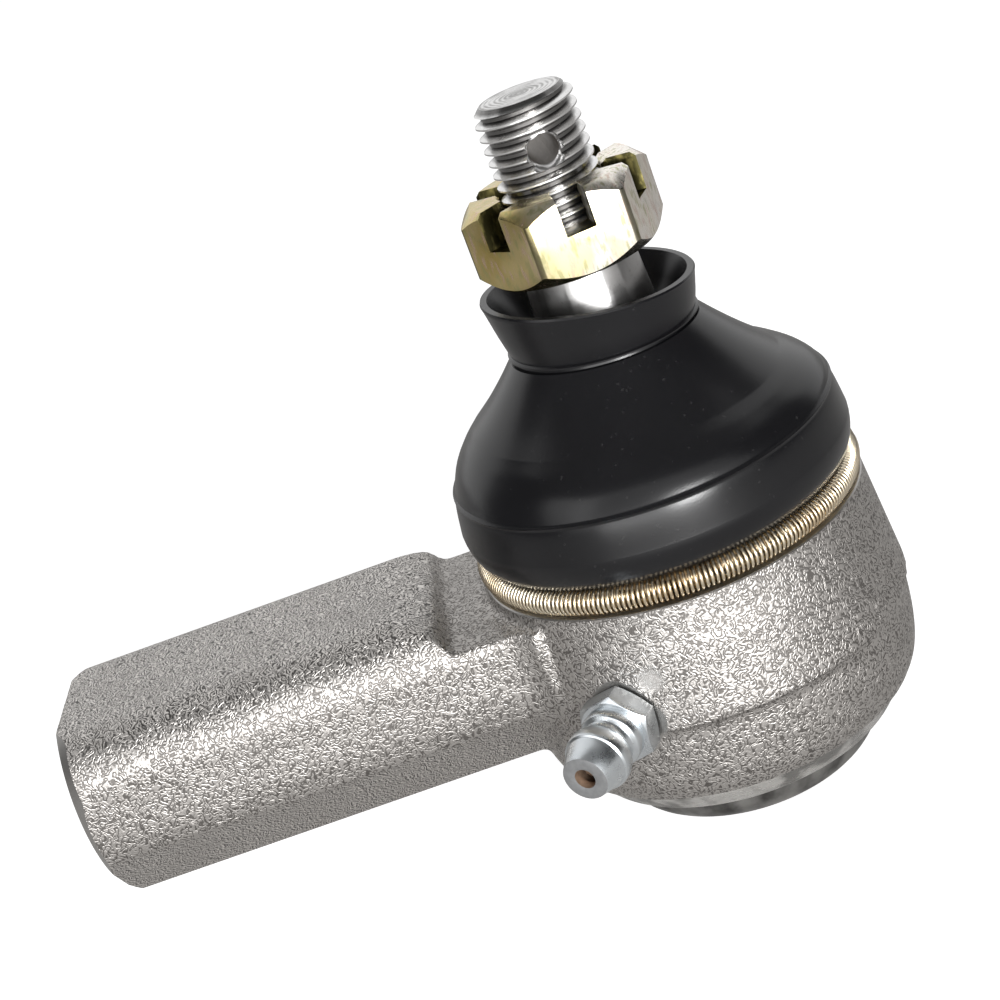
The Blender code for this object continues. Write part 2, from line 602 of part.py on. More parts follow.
def make_grease_nipple():
    """Zinc plated steel nipple: thread, hexagon, collar and button head, with a check ball and its spring."""
    hex_foot = CLEARANCE
    hex_top = hex_foot + NIPPLE_HEX_HEIGHT
    collar_top = hex_top + NIPPLE_COLLAR_LENGTH
    groove_top = collar_top + NIPPLE_GROOVE_LENGTH
    tip = groove_top + NIPPLE_HEAD_LENGTH
    chamber = CHECK_BALL_RADIUS + CLEARANCE
    seat = tip - NIPPLE_TIP_HOLE_DEPTH
    ball = seat - CHECK_BALL_RADIUS - CLEARANCE
    spring_top = ball - CHECK_BALL_RADIUS - CLEARANCE
    spring_foot = spring_top - CHECK_SPRING_LENGTH
    shoulder = spring_foot - CLEARANCE
    foot = CAVITY_RADIUS + NIPPLE_THREAD_TO_CAVITY - NIPPLE_SEAT_RADIUS
    cone = NIPPLE_HEAD_RADIUS - NIPPLE_TIP_RADIUS
    profile = [(NIPPLE_TIP_HOLE_RADIUS, tip), (NIPPLE_TIP_RADIUS, tip)]
    profile += [(NIPPLE_HEAD_RADIUS, tip - 3 * cone), (NIPPLE_HEAD_RADIUS, groove_top + cone)]
    profile += [(NIPPLE_GROOVE_RADIUS, groove_top), (NIPPLE_GROOVE_RADIUS, collar_top)]
    profile += [(NIPPLE_COLLAR_RADIUS, collar_top - NIPPLE_COLLAR_LENGTH / 4)]
    profile += [(NIPPLE_COLLAR_RADIUS, hex_top), (NIPPLE_THREAD_RADIUS, hex_foot)]
    profile += [(NIPPLE_THREAD_RADIUS, foot)]
    profile += [(NIPPLE_TIP_HOLE_RADIUS, foot), (NIPPLE_TIP_HOLE_RADIUS, shoulder), (chamber, shoulder)]
    profile += [(chamber, seat)]
    nipple = turned("grease_nipple", profile, SMALL_STEPS, nipple_axis, ring=True)
    across_flats = NIPPLE_HEX_ACROSS_FLATS
    nut = hexagon("nipple_hexagon", across_flats, NIPPLE_HEX_HEIGHT, 0, nipple_axis, (0, 0, hex_foot))
    core = (NIPPLE_THREAD_RADIUS + chamber) / 2
    drill = [(0, hex_top + CLEARANCE), (core, hex_top + CLEARANCE), (core, 0), (0, 0)]
    cut(nut, turned("hexagon_bore", drill, SMALL_STEPS, nipple_axis))
    cut(nipple, nut, "UNION")
    finish(nipple, (0.62, 0.64, 0.66), 0.25, 1)
    mesh = bpy.data.meshes.new("nipple_check_ball")
    form = bmesh.new()
    bmesh.ops.create_uvsphere(form, u_segments=16, v_segments=10, radius=CHECK_BALL_RADIUS)
    form.to_mesh(mesh)
    form.free()
    finish(add_object("nipple_check_ball", mesh, nipple_axis, (0, 0, ball)), (0.7, 0.7, 0.7), 0.15, 1)
    radius = CHECK_SPRING_WIRE_RADIUS
    coil = chamber - CLEARANCE - radius
    points = helix(coil, spring_foot + radius, spring_top - radius, CHECK_SPRING_TURNS, 8)
    print("nipple check spring, least gap in mm:", round(least_gap(points, radius, 4) * 1000, 3))
    finish(wire("nipple_check_spring", points, radius, nipple_axis), (0.6, 0.6, 0.6), 0.3, 1)


def boot_outside():
    """Outer side of the boot, from its lip down to its bead."""
    lip_z = BOOT_NECK_Z + BOOT_COLLAR_HEIGHT
    neck = (BOOT_NECK_RADIUS, BOOT_NECK_Z)
    bulge = (BOOT_BULGE_RADIUS, BOOT_BULGE_Z)
    points = [(BOOT_LIP_RADIUS, lip_z), (BOOT_NECK_RADIUS - BOOT_COLLAR_STEP, BOOT_NECK_Z)]
    points += quarter(bulge, neck, 9, BOOT_DOME_POWER)[::-1]
    points += quarter(bulge, (BOOT_EDGE_RADIUS, BOOT_EDGE_Z), 4)[1:]
    points += [(BOOT_BEAD_RADIUS, BOOT_EDGE_Z), (BOOT_BEAD_RADIUS, RIM_Z + CLEARANCE)]
    return points


def boot_inside():
    """Inner side of the boot, from its bead up to its lip, with a groove for the steel ring."""
    seat = BOOT_SEAT_RADIUS + CLEARANCE
    roof_z = BOOT_SEAT_TOP_Z + CLEARANCE
    seal_foot = BOOT_NECK_Z - BOOT_SEAL_HEIGHT
    seal_foot_radius = taper_radius(seal_foot) + CLEARANCE
    seal_top_radius = taper_radius(BOOT_NECK_Z) + CLEARANCE
    ring_foot = seal_foot + BOOT_SEAL_HEIGHT / 2 - NECK_RING_HEIGHT / 2 - CLEARANCE
    ring_top = ring_foot + NECK_RING_HEIGHT + 2 * CLEARANCE
    groove = seal_foot_radius + NECK_RING_WIDTH + 2 * CLEARANCE
    lip_z = BOOT_NECK_Z + BOOT_COLLAR_HEIGHT
    bulge = (BOOT_BULGE_RADIUS - BOOT_WALL, BOOT_BULGE_Z)
    points = [(seat, RIM_Z + CLEARANCE), (seat, roof_z)]
    points += quarter(bulge, (groove + BOOT_WALL / 2, seal_foot), 7, BOOT_DOME_POWER)[1:]
    points += [(seal_foot_radius, seal_foot), (taper_radius(ring_foot) + CLEARANCE, ring_foot)]
    points += [(groove, ring_foot), (groove, ring_top), (taper_radius(ring_top) + CLEARANCE, ring_top)]
    points += [(seal_top_radius, BOOT_NECK_Z), (BOOT_LIP_RADIUS - BOOT_LIP_THICKNESS, lip_z)]
    return points


def make_dust_boot():
    """Moulded rubber boot: bead on the housing's seat, bulged dome, seal on the stud and flared collar."""
    boot = turned("dust_boot", boot_outside() + boot_inside(), TURNED_STEPS, None, ring=True)
    return finish(boot, (0.022, 0.022, 0.024), 0.5, 0)


def make_boot_neck_ring():
    """Steel ring in the groove of the boot's small end, which keeps its seal round on the stud."""
    seal_foot = BOOT_NECK_Z - BOOT_SEAL_HEIGHT
    inner = taper_radius(seal_foot) + CLEARANCE
    outer = inner + NECK_RING_WIDTH
    foot = seal_foot + BOOT_SEAL_HEIGHT / 2 - NECK_RING_HEIGHT / 2 - BALL_CENTRE_Z
    top = foot + NECK_RING_HEIGHT
    profile = [(outer, top), (outer, foot), (inner, foot), (inner, top)]
    ring = turned("boot_neck_ring", profile, STUD_STEPS, ball_centre, ring=True)
    return finish(ring, (0.5, 0.5, 0.5), 0.4, 1)


def make_garter_spring():
    """Close coiled wire spring laid round the boot's bead, with its two ends side by side."""
    steps = GARTER_CURLS * GARTER_POINTS_PER_CURL
    coil = GARTER_COIL_RADIUS - GARTER_WIRE_RADIUS
    open_angle = 3 * GARTER_COIL_RADIUS / GARTER_RING_RADIUS
    start = GARTER_END_AZIMUTH + open_angle / 2
    points = []
    for i in range(steps + 1):
        round_ring = start + (math.tau - open_angle) * i / steps
        round_coil = math.tau * i / GARTER_POINTS_PER_CURL
        radius = GARTER_RING_RADIUS + coil * math.cos(round_coil)
        height = GARTER_Z + coil * math.sin(round_coil)
        points.append(Vector((radius * math.cos(round_ring), radius * math.sin(round_ring), height)))
    end_run = 2 * GARTER_WIRE_RADIUS
    for end, angle, way in ((0, start, -1), (-1, start - open_angle, 1)):
        along = Vector((-math.sin(angle), math.cos(angle), 0)) * way
        straight = points[end] + along * end_run
        points.insert(0 if end == 0 else len(points), straight)
    print("garter spring, least gap in mm:", round(least_gap(points, GARTER_WIRE_RADIUS, 5) * 1000, 3))
    return finish(wire("garter_spring", points, GARTER_WIRE_RADIUS), (0.72, 0.62, 0.46), 0.3, 1)


make_socket_housing()
make_closing_plate()
make_preload_spring()
make_lower_ball_seat()
make_upper_ball_seat()
make_ball_stud()
make_castle_nut()
make_dust_boot()
make_boot_neck_ring()
make_garter_spring()
make_grease_nipple()
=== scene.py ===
import json
import math

import bpy
from mathutils import Matrix, Vector


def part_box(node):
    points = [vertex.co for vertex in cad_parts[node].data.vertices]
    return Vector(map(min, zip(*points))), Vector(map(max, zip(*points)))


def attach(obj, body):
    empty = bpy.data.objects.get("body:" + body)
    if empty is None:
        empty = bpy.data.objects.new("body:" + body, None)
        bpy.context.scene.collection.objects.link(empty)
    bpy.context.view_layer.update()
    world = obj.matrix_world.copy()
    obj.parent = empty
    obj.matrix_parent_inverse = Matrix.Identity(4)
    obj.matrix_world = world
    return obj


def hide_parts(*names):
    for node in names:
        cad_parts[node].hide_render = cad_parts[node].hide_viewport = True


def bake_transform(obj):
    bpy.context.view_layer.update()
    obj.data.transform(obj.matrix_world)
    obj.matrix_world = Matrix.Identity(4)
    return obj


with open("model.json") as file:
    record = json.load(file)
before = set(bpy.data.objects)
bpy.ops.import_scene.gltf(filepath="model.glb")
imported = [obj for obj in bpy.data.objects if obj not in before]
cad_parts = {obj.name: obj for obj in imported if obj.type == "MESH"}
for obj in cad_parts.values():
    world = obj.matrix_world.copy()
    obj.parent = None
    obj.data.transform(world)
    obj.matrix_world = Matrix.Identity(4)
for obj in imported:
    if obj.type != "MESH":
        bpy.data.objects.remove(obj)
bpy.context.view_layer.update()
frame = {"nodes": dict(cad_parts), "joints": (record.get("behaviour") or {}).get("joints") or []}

# Socket housing: the socket and the shank are one steel forging with a pebbled skin. It is turned where the
# boot sits, bored for the ball, tapped for the tie rod and the nipple, and its thin lower edge is rolled over
# the closing plate.

MM = 0.001
joints = {joint["name"]: joint for joint in frame["joints"]}
ball_centre = Vector(joints["stud_lean"]["pos_m"])
housing_low, housing_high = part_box("socket_housing")
seat_top = housing_high.z
shank_end = housing_low.x
body_radius = housing_high.x
lip_foot = housing_low.z

boot_seat_radius = 15.8 * MM
boot_seat_height = 3.55 * MM
rim_radius = 20.2 * MM
rim_chamfer = 0.1 * MM
rim_z = seat_top - boot_seat_height
crease_z = ball_centre.z - 5.2 * MM
foot_radius = 19.3 * MM
foot_z = 7.7 * MM
lip_inner_radius = 15.3 * MM
lip_edge_radius = 16.1 * MM
lip_round = 1.4 * MM
lip_throat_z = 5.3 * MM
lip_step = 0.12 * MM
plate_seat_radius = 16.4 * MM
plate_seat_z = 7.6 * MM
cavity_radius = 14.55 * MM
cavity_top_radius = 11.35 * MM
cavity_top_z = 28.5 * MM
cavity_cone_z = 25.0 * MM
mouth_radius = 10.0 * MM
mouth_flare = 2.55 * MM
shank_radius = 12.1 * MM
shank_top = 9.8 * MM
shank_shoulder = 5.4 * MM
shank_fillet = 5.0 * MM
shank_crease = 18
shank_flat_end = 62
shank_foot_width = 7.5 * MM
pad_z = rim_z - 1.35 * MM
pad_step_x = -26.5 * MM
droop_length = 6.0 * MM
droop_radius = 14.0 * MM
step_edge = 1.8 * MM
rod_bore_radius = 6.2 * MM
rod_bore_depth = 37.5 * MM
rod_thread_radius = 7.0 * MM
rod_thread_pitch = 1.5 * MM
rod_thread_depth = 0.92 * MM
shank_face_radius = 11.4 * MM
shank_chamfer = 1.4 * MM
dimple = Vector((-7.0, -19.7, 22.4)) * MM


class Value:
    """A socket whose value varies over a surface. Arithmetic on it adds Math nodes."""

    def __init__(self, finish, socket):
        self.finish = finish
        self.socket = socket

    def math(self, operation, *operands):
        return self.finish.node("ShaderNodeMath", {"operation": operation}, dict(enumerate(operands)))

    def __add__(self, other):
        return self.math("ADD", self, other)

    def __radd__(self, other):
        return self.math("ADD", other, self)

    def __sub__(self, other):
        return self.math("SUBTRACT", self, other)

    def __rsub__(self, other):
        return self.math("SUBTRACT", other, self)

    def __mul__(self, other):
        return self.math("MULTIPLY", self, other)

    def __pow__(self, other):
        return self.math("POWER", self, other)

    def sine(self):
        return self.math("SINE", self)


class Finish:
    """A node tree that is being filled. node() adds a node, fed with numbers, colours or other values."""

    def __init__(self, owner):
        owner.use_nodes = True
        self.owner = owner
        self.tree = owner.node_tree

    def feed(self, target, inputs):
        for name, value in inputs.items():
            if isinstance(value, Value):
                self.tree.links.new(value.socket, target.inputs[name])
            else:
                target.inputs[name].default_value = value

    def node(self, kind, settings, inputs, output=0):
        made = self.tree.nodes.new(kind)
        for name, value in settings.items():
            setattr(made, name, value)
        self.feed(made, inputs)
        return Value(self, made.outputs[output])

    def mix(self, factor, first, second):
        return self.node("ShaderNodeMix", {"data_type": "RGBA"}, {0: factor, 6: first, 7: second}, 2)

    def between(self, value, low, high):
        """0 where the value is at low, 1 where it is at high, flat beyond them and smooth between."""
        span = {"interpolation_type": "SMOOTHSTEP"}
        return self.node("ShaderNodeMapRange", span, {"Value": value, "From Min": low, "From Max": high})

    def spot(self):
        """The point of the surface, in the object's own coordinates."""
        return self.node("ShaderNodeTexCoord", {}, {}, "Object")

    def noise(self, size, detail=2.0, distortion=0.0, stretch=(1, 1, 1), seed=(0, 0, 0)):
        """Cloudy noise whose patches are about size across, in metres, drawn out along an axis by stretch."""
        scale = [1 / (size * along) for along in stretch]
        spread = self.node("ShaderNodeMapping", {}, {"Vector": self.spot(), "Scale": scale, "Location": seed})
        inputs = {"Vector": spread, "Scale": 1.0, "Detail": detail, "Distortion": distortion}
        return self.node("ShaderNodeTexNoise", {}, inputs, "Fac")

    def axes(self):
        """The object's x, y and z at a point of its surface, in metres."""
        split = self.tree.nodes.new("ShaderNodeSeparateXYZ")
        self.feed(split, {0: self.spot()})
        return [Value(self, output) for output in split.outputs]

    def axial_radius(self):
        """How far the point is from the object's Z axis, in metres."""
        x, y, z = self.axes()
        return (x * x + y * y) ** 0.5

    def ray(self, kind):
        """1 for light that arrives as a ray of this kind, and otherwise 0."""
        return self.node("ShaderNodeLightPath", {}, {}, f"Is {kind} Ray")

    def bump(self, height, distance, strength=1.0):
        inputs = {"Height": height, "Distance": distance, "Strength": strength}
        return self.node("ShaderNodeBump", {}, inputs, "Normal")

    def surface(self, **inputs):
        """Feeds the Principled shader, by the names of its sockets with an underscore for a space."""
        shader = self.tree.nodes["Principled BSDF"]
        self.feed(shader, {name.replace("_", " "): value for name, value in inputs.items()})
        return self.owner


def new_finish(name):
    """A material of this name, to be filled."""
    return Finish(bpy.data.materials.new(name))


def worm_ridges(finish, shift):
    """Height of the blasted skin's worm-like ridges, from 0 to 1, read at a small shift from the point."""
    flow_size = 0.8 * MM
    break_size = 0.35 * MM
    flow = finish.noise(flow_size, detail=1.0, distortion=0.4, seed=shift / flow_size)
    breaks = finish.noise(break_size, detail=1.0, seed=Vector((3, 1, 7)) + shift / break_size)
    return (flow * 34.0 + breaks * 4.0).sine() * 0.5 + 0.5


def forged_skin():
    """Blasted forging: worm-like ridges that glint, painted shade in the hollows, painted relief shading on
    the two flats, the dies' step and a tester's dimple.
    """
    finish = new_finish("forged_skin")
    x, y, z = finish.axes()
    worms = worm_ridges(finish, Vector((0, 0, 0)))
    # One flank of each ridge is painted lighter and the other darker, as if lit from one side: painted relief
    # shading.
    one_sided_relief_shade = worms - worm_ridges(finish, Vector((0.10, -0.03, 0.05)) * MM)
    patches = finish.noise(8 * MM, detail=3.0, seed=(5, 2, 0))
    ends = {0: finish.spot(), 1: dimple}
    away = finish.node("ShaderNodeVectorMath", {"operation": "DISTANCE"}, ends, "Value")
    smooth = finish.between(away, 1.7 * MM, 0.7 * MM)
    wall = finish.between(finish.axial_radius(), 20.4 * MM, 20.8 * MM) * finish.between(x, -15 * MM, -12 * MM)
    upper_die = finish.between(z, crease_z - 0.25 * MM, crease_z + 0.1 * MM) * wall
    # The hollows between the worm ridges are painted darker than the ridges: painted shade in the relief.
    shaded_hollows_tone = finish.mix(finish.between(worms, 0.0, 0.55), (0.135, 0.126, 0.118, 1), (0.445, 0.426, 0.407, 1))
    # The mix below is that painted relief shading: the lit flank of each ridge light, the other flank dark.
    grain = finish.mix(finish.between(one_sided_relief_shade, -0.4, 0.4), (0.06, 0.057, 0.054, 1), (0.73, 0.70, 0.67, 1))
    crown = finish.between(z, ball_centre.z + 6.5 * MM, ball_centre.z + 9.0 * MM)
    lower_flat = finish.between(z, ball_centre.z - 3.5 * MM, ball_centre.z - 4.3 * MM)
    flats_with_painted_relief = (crown + lower_flat) * finish.between(x, -17 * MM, -21 * MM)
    # On the top flat and the lower flat, the painted relief shading takes the place of the skin's tone.
    skin = finish.mix(flats_with_painted_relief * 0.85, shaded_hollows_tone, grain)
    worn = finish.mix(finish.between(patches, 0.35, 0.75) * 0.25, skin, (0.29, 0.275, 0.262, 1))
    colour = finish.mix(smooth * 0.8, worn, (0.42, 0.405, 0.39, 1))
    relief = finish.bump(worms * (1 - smooth) + upper_die * 5.0 - smooth * 1.5, 0.04 * MM, 0.95)
    roughness = 0.47 - worms * 0.06 + patches * 0.06
    return finish.surface(Base_Color=colour, Roughness=roughness, Metallic=0.95, Normal=relief)


def machined_steel():
    """Turned and drilled surfaces: bright steel with fine tool marks."""
    finish = new_finish("machined_steel")
    marks = finish.noise(0.25 * MM, detail=2.0, stretch=(3, 3, 0.4))
    stains = finish.noise(5 * MM, detail=3.0)
    colour = finish.mix(stains, (0.34, 0.33, 0.32, 1), (0.52, 0.51, 0.49, 1))
    return finish.surface(Base_Color=colour, Roughness=0.26 + marks * 0.14, Metallic=1.0,
                          Normal=finish.bump(marks, 0.02 * MM, 0.5))


def rolled_steel():
    """The lip that was rolled over the plate: dark, smooth and drawn out round the socket."""
    finish = new_finish("rolled_steel")
    drawn = finish.noise(0.5 * MM, detail=2.0, stretch=(5, 5, 0.6))
    stains = finish.noise(4 * MM, detail=3.0, seed=(1, 6, 3))
    colour = finish.mix(finish.between(stains, 0.4, 0.6), (0.28, 0.275, 0.265, 1), (0.75, 0.74, 0.72, 1))
    return finish.surface(Base_Color=colour, Roughness=0.22 + drawn * 0.12, Metallic=1.0,
                          Normal=finish.bump(drawn, 0.03 * MM, 0.5))


def draw(name, points):
    """Adds a mesh of one vertex and extrudes it from point to point. It stays in edit mode."""
    bpy.ops.mesh.primitive_plane_add(size=MM)
    drawn = bpy.context.object
    drawn.name = name
    bpy.ops.object.mode_set(mode="EDIT")
    bpy.ops.mesh.select_mode(type="VERT")
    bpy.ops.mesh.select_all(action="SELECT")
    bpy.ops.mesh.merge(type="CENTER")
    bpy.ops.transform.translate(value=points[0])
    for here, there in zip(points, points[1:]):
        step = Vector(there) - Vector(here)
        bpy.ops.mesh.extrude_vertices_move(TRANSFORM_OT_translate={"value": step})
    return drawn


def close_up():
    """In edit mode, merges what lies together, turns the faces outwards and goes back to object mode."""
    bpy.ops.mesh.select_all(action="SELECT")
    bpy.ops.mesh.remove_doubles(threshold=0.001 * MM)
    bpy.ops.mesh.normals_make_consistent(inside=False)
    bpy.ops.object.mode_set(mode="OBJECT")


def pick(piece):
    """Selects one object alone and makes it active."""
    bpy.ops.object.select_all(action="DESELECT")
    piece.select_set(True)
    bpy.context.view_layer.objects.active = piece


def modify(piece, kind, **settings):
    """Adds a modifier to a piece, sets it and applies it."""
    pick(piece)
    bpy.ops.object.modifier_add(type=kind)
    modifier = piece.modifiers[-1]
    for name, value in settings.items():
        setattr(modifier, name, value)
    bpy.ops.object.modifier_apply(modifier=modifier.name)


def spin(name, profile, steps=128, ring=False):
    """Draws a profile of (radius, height) points and spins it about Z into a closed solid."""
    points = [(radius, 0, height) for radius, height in profile]
    if ring:
        points.append(points[0])
    spun = draw(name, points)
    bpy.ops.mesh.select_all(action="SELECT")
    bpy.ops.mesh.spin(steps=steps, angle=math.tau, center=(0, 0, 0), axis=(0, 0, 1))
    close_up()
    return spun


def mm(*points):
    """Points that are given in millimetres."""
    return [(across * MM, up * MM) for across, up in points]


def arc(middle, radius, start, end, steps):
    """Points of an arc about a middle, between two angles in degrees."""
    points = []
    for i in range(steps + 1):
        angle = math.radians(start + (end - start) * i / steps)
        points.append((middle[0] + radius * math.cos(angle), middle[1] + radius * math.sin(angle)))
    return points


def quarter(start, end, steps, power=2.0):
    """A quarter of a superellipse that leaves its start upright and reaches its end level."""
    points = []
    for i in range(steps + 1):
        angle = math.radians(90) * i / steps
        along = math.cos(angle) ** (2 / power)
        up = math.sin(angle) ** (2 / power)
        points.append((end[0] + (start[0] - end[0]) * along, start[1] + (end[1] - start[1]) * up))
    return points


def threaded_rod(name, radius, pitch, depth, low, high, steps=64):
    """A rod about Z with a V thread: one pitch of its profile, screwed up and cut level at both ends."""
    turns = math.ceil((high - low) / pitch) + 3
    root = radius - depth
    profile = [(root, 0), (root, pitch / 8), (radius, pitch * 7 / 16), (radius, pitch * 9 / 16)]
    profile += [(root, pitch * 7 / 8), (root, pitch)]
    start = (math.floor(low / pitch) - 2) * pitch
    rod = draw(name, [(r, 0, start + z) for r, z in profile])
    bpy.ops.object.mode_set(mode="OBJECT")
    modify(rod, "SCREW", screw_offset=pitch, iterations=turns, steps=steps, render_steps=steps)
    bpy.ops.object.mode_set(mode="EDIT")
    bpy.ops.mesh.select_all(action="SELECT")
    bpy.ops.mesh.remove_doubles(threshold=0.001 * MM)
    for height, low_side in ((low, True), (high, False)):
        bpy.ops.mesh.select_all(action="SELECT")
        bpy.ops.mesh.bisect(plane_co=(0, 0, height), plane_no=(0, 0, 1), use_fill=True, threshold=MM / 10000,
                            clear_inner=low_side, clear_outer=not low_side)
    close_up()
    return rod


def combine(piece, tool, operation="DIFFERENCE"):
    """Cuts a piece with a tool, joins them or keeps what they share. The tool's material stays on its cut."""
    modify(piece, "BOOLEAN", operation=operation, solver="MANIFOLD", material_mode="TRANSFER", object=tool)
    bpy.data.objects.remove(tool, do_unlink=True)
    return piece


def soften(piece, width, segments=2, angle=30):
    """Bevels the edges that are sharper than an angle, and shades the rest smooth."""
    limit = math.radians(angle)
    if width:
        modify(piece, "BEVEL", width=width, segments=segments, limit_method="ANGLE", angle_limit=limit)
    pick(piece)
    bpy.ops.object.shade_smooth_by_angle(angle=limit)
    return piece


def place(piece, matrix):
    """Moves a piece's mesh by a matrix, and leaves its object at the origin."""
    pick(piece)
    piece.matrix_world = matrix
    bpy.ops.object.transform_apply()
    return piece


def dress(piece, *materials):
    """Gives a piece its materials in place of any that it has."""
    piece.data.materials.clear()
    for material in materials:
        piece.data.materials.append(material)


def fit(piece, node):
    """Lets a piece stand for a node by hiding the node."""
    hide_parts(node)


def prism(name, outline, sweep):
    """Fills a closed outline and extrudes it by a vector. It stays in edit mode, with its end selected."""
    swept = draw(name, outline)
    bpy.ops.mesh.select_all(action="SELECT")
    bpy.ops.mesh.edge_face_add()
    bpy.ops.mesh.extrude_region_move(TRANSFORM_OT_translate={"value": sweep})
    return swept


def forged_body():
    """The socket before machining: drafted wall, a small step where the dies met, and a drawn-in foot."""
    blank_top = seat_top + 0.5 * MM
    blank_foot = lip_foot - 0.5 * MM
    profile = [(0, blank_top), (rim_radius, blank_top), (rim_radius, rim_z), (body_radius, crease_z)]
    profile += quarter((body_radius - 0.45 * MM, crease_z - 0.35 * MM), (foot_radius, foot_z), 10)
    profile += [(foot_radius - 0.4 * MM, blank_foot), (0, blank_foot)]
    return spin("socket_housing_forging", profile)


def forged_shank():
    """The shank before machining: flat on top, with flats under its creases, and flared at the socket."""
    across = shank_radius + shank_fillet
    fillet_x = -math.sqrt((body_radius + shank_fillet) ** 2 - across ** 2)
    fillet_end = fillet_x * body_radius / (body_radius + shank_fillet)
    blank_end = shank_end - MM
    foot = math.degrees(math.acos(shank_foot_width / 2 / shank_radius))
    half = arc((0, 0), shank_radius, -foot, -shank_flat_end, 4)
    half += arc((0, 0), shank_radius, -shank_crease, 0, 6)
    half += arc((shank_radius - shank_shoulder, shank_top - shank_shoulder), shank_shoulder, 0, 90, 16)
    outline = half + [(-y, z) for y, z in reversed(half)]
    section = [(blank_end, y, ball_centre.z + z) for y, z in outline]
    shank = prism("forged_shank", section, (fillet_x - blank_end, 0, 0))
    steps = 6
    x = fillet_x
    width = shank_radius
    for i in range(1, steps + 1):
        next_x = fillet_x + (fillet_end - fillet_x) * i / steps
        next_width = across - math.sqrt(shank_fillet ** 2 - (next_x - fillet_x) ** 2)
        widen = next_width / width
        bpy.ops.mesh.extrude_region_move(TRANSFORM_OT_translate={"value": (next_x - x, 0, 0)})
        grow = (1, widen, 1 + (widen - 1) * 0.7)
        bpy.ops.transform.resize(value=grow, center_override=(next_x, 0, ball_centre.z))
        x = next_x
        width = next_width
    bpy.ops.mesh.extrude_region_move(TRANSFORM_OT_translate={"value": (-x * 0.25, 0, 0)})
    bpy.ops.transform.resize(value=(1, 0.85, 0.9), center_override=(x * 0.75, 0, ball_centre.z))
    close_up()
    crown = ball_centre.z + shank_top
    over = shank_radius
    start = pad_step_x - droop_length
    turn = math.acos(droop_length / droop_radius)
    droop = (start, crown + 0.1 * MM - droop_radius)
    inner = droop_radius - step_edge
    edge = (droop[0] + inner * math.cos(turn), droop[1] + inner * math.sin(turn))
    outline = [(0, pad_z), (0, crown + over), (start - over, crown + over), (start - over, crown + 0.1 * MM)]
    outline += arc(droop, droop_radius, 90, math.degrees(turn), 10)
    outline += arc(edge, step_edge, math.degrees(turn), 10, 6)[1:]
    foot = edge[0] + 1.1 * step_edge
    outline += [(foot, pad_z + 0.9 * MM), (foot + 0.3 * MM, pad_z + 0.3 * MM), (foot + 0.9 * MM, pad_z)]
    section = [(x, -2 * shank_radius, z) for x, z in outline]
    pad_tool = prism("pad_tool", section, (0, 4 * shank_radius, 0))
    close_up()
    return combine(shank, pad_tool)


def smooth_forging(body, shank):
    """Runs the two blanks into one and rounds every edge and corner, as a forging die does."""
    pick(body)
    shank.select_set(True)
    bpy.ops.object.join()
    modify(body, "REMESH", mode="VOXEL", voxel_size=0.4 * MM)
    modify(body, "SMOOTH", factor=0.5, iterations=6)
    return body


def along_shank(piece):
    """Lays a tool that was made along Z on the shank's axis, with its origin at the shank's end."""
    lie_down = Matrix.Rotation(math.radians(-90), 4, "Y")
    return place(piece, Matrix.Translation((shank_end, 0, ball_centre.z)) @ lie_down)


check_ball_low, check_ball_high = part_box("nipple_check_ball")
nipple_way = -Vector(joints["check_ball_lift"]["axis"])
nipple_ball_height = 7.35 * MM
nipple_spot_radius = 4.4 * MM
nipple_hole_radius = 3.3 * MM
nipple_hole_depth = 9 * MM
nipple_seat = (check_ball_low + check_ball_high) / 2 - nipple_way * nipple_ball_height


def along_nipple(piece):
    """Puts a piece that was made along Z on the nipple's axis, with its origin on the nipple's seat."""
    turn = nipple_way.to_track_quat("Z", "X").to_matrix().to_4x4()
    return place(piece, Matrix.Translation(nipple_seat) @ turn)


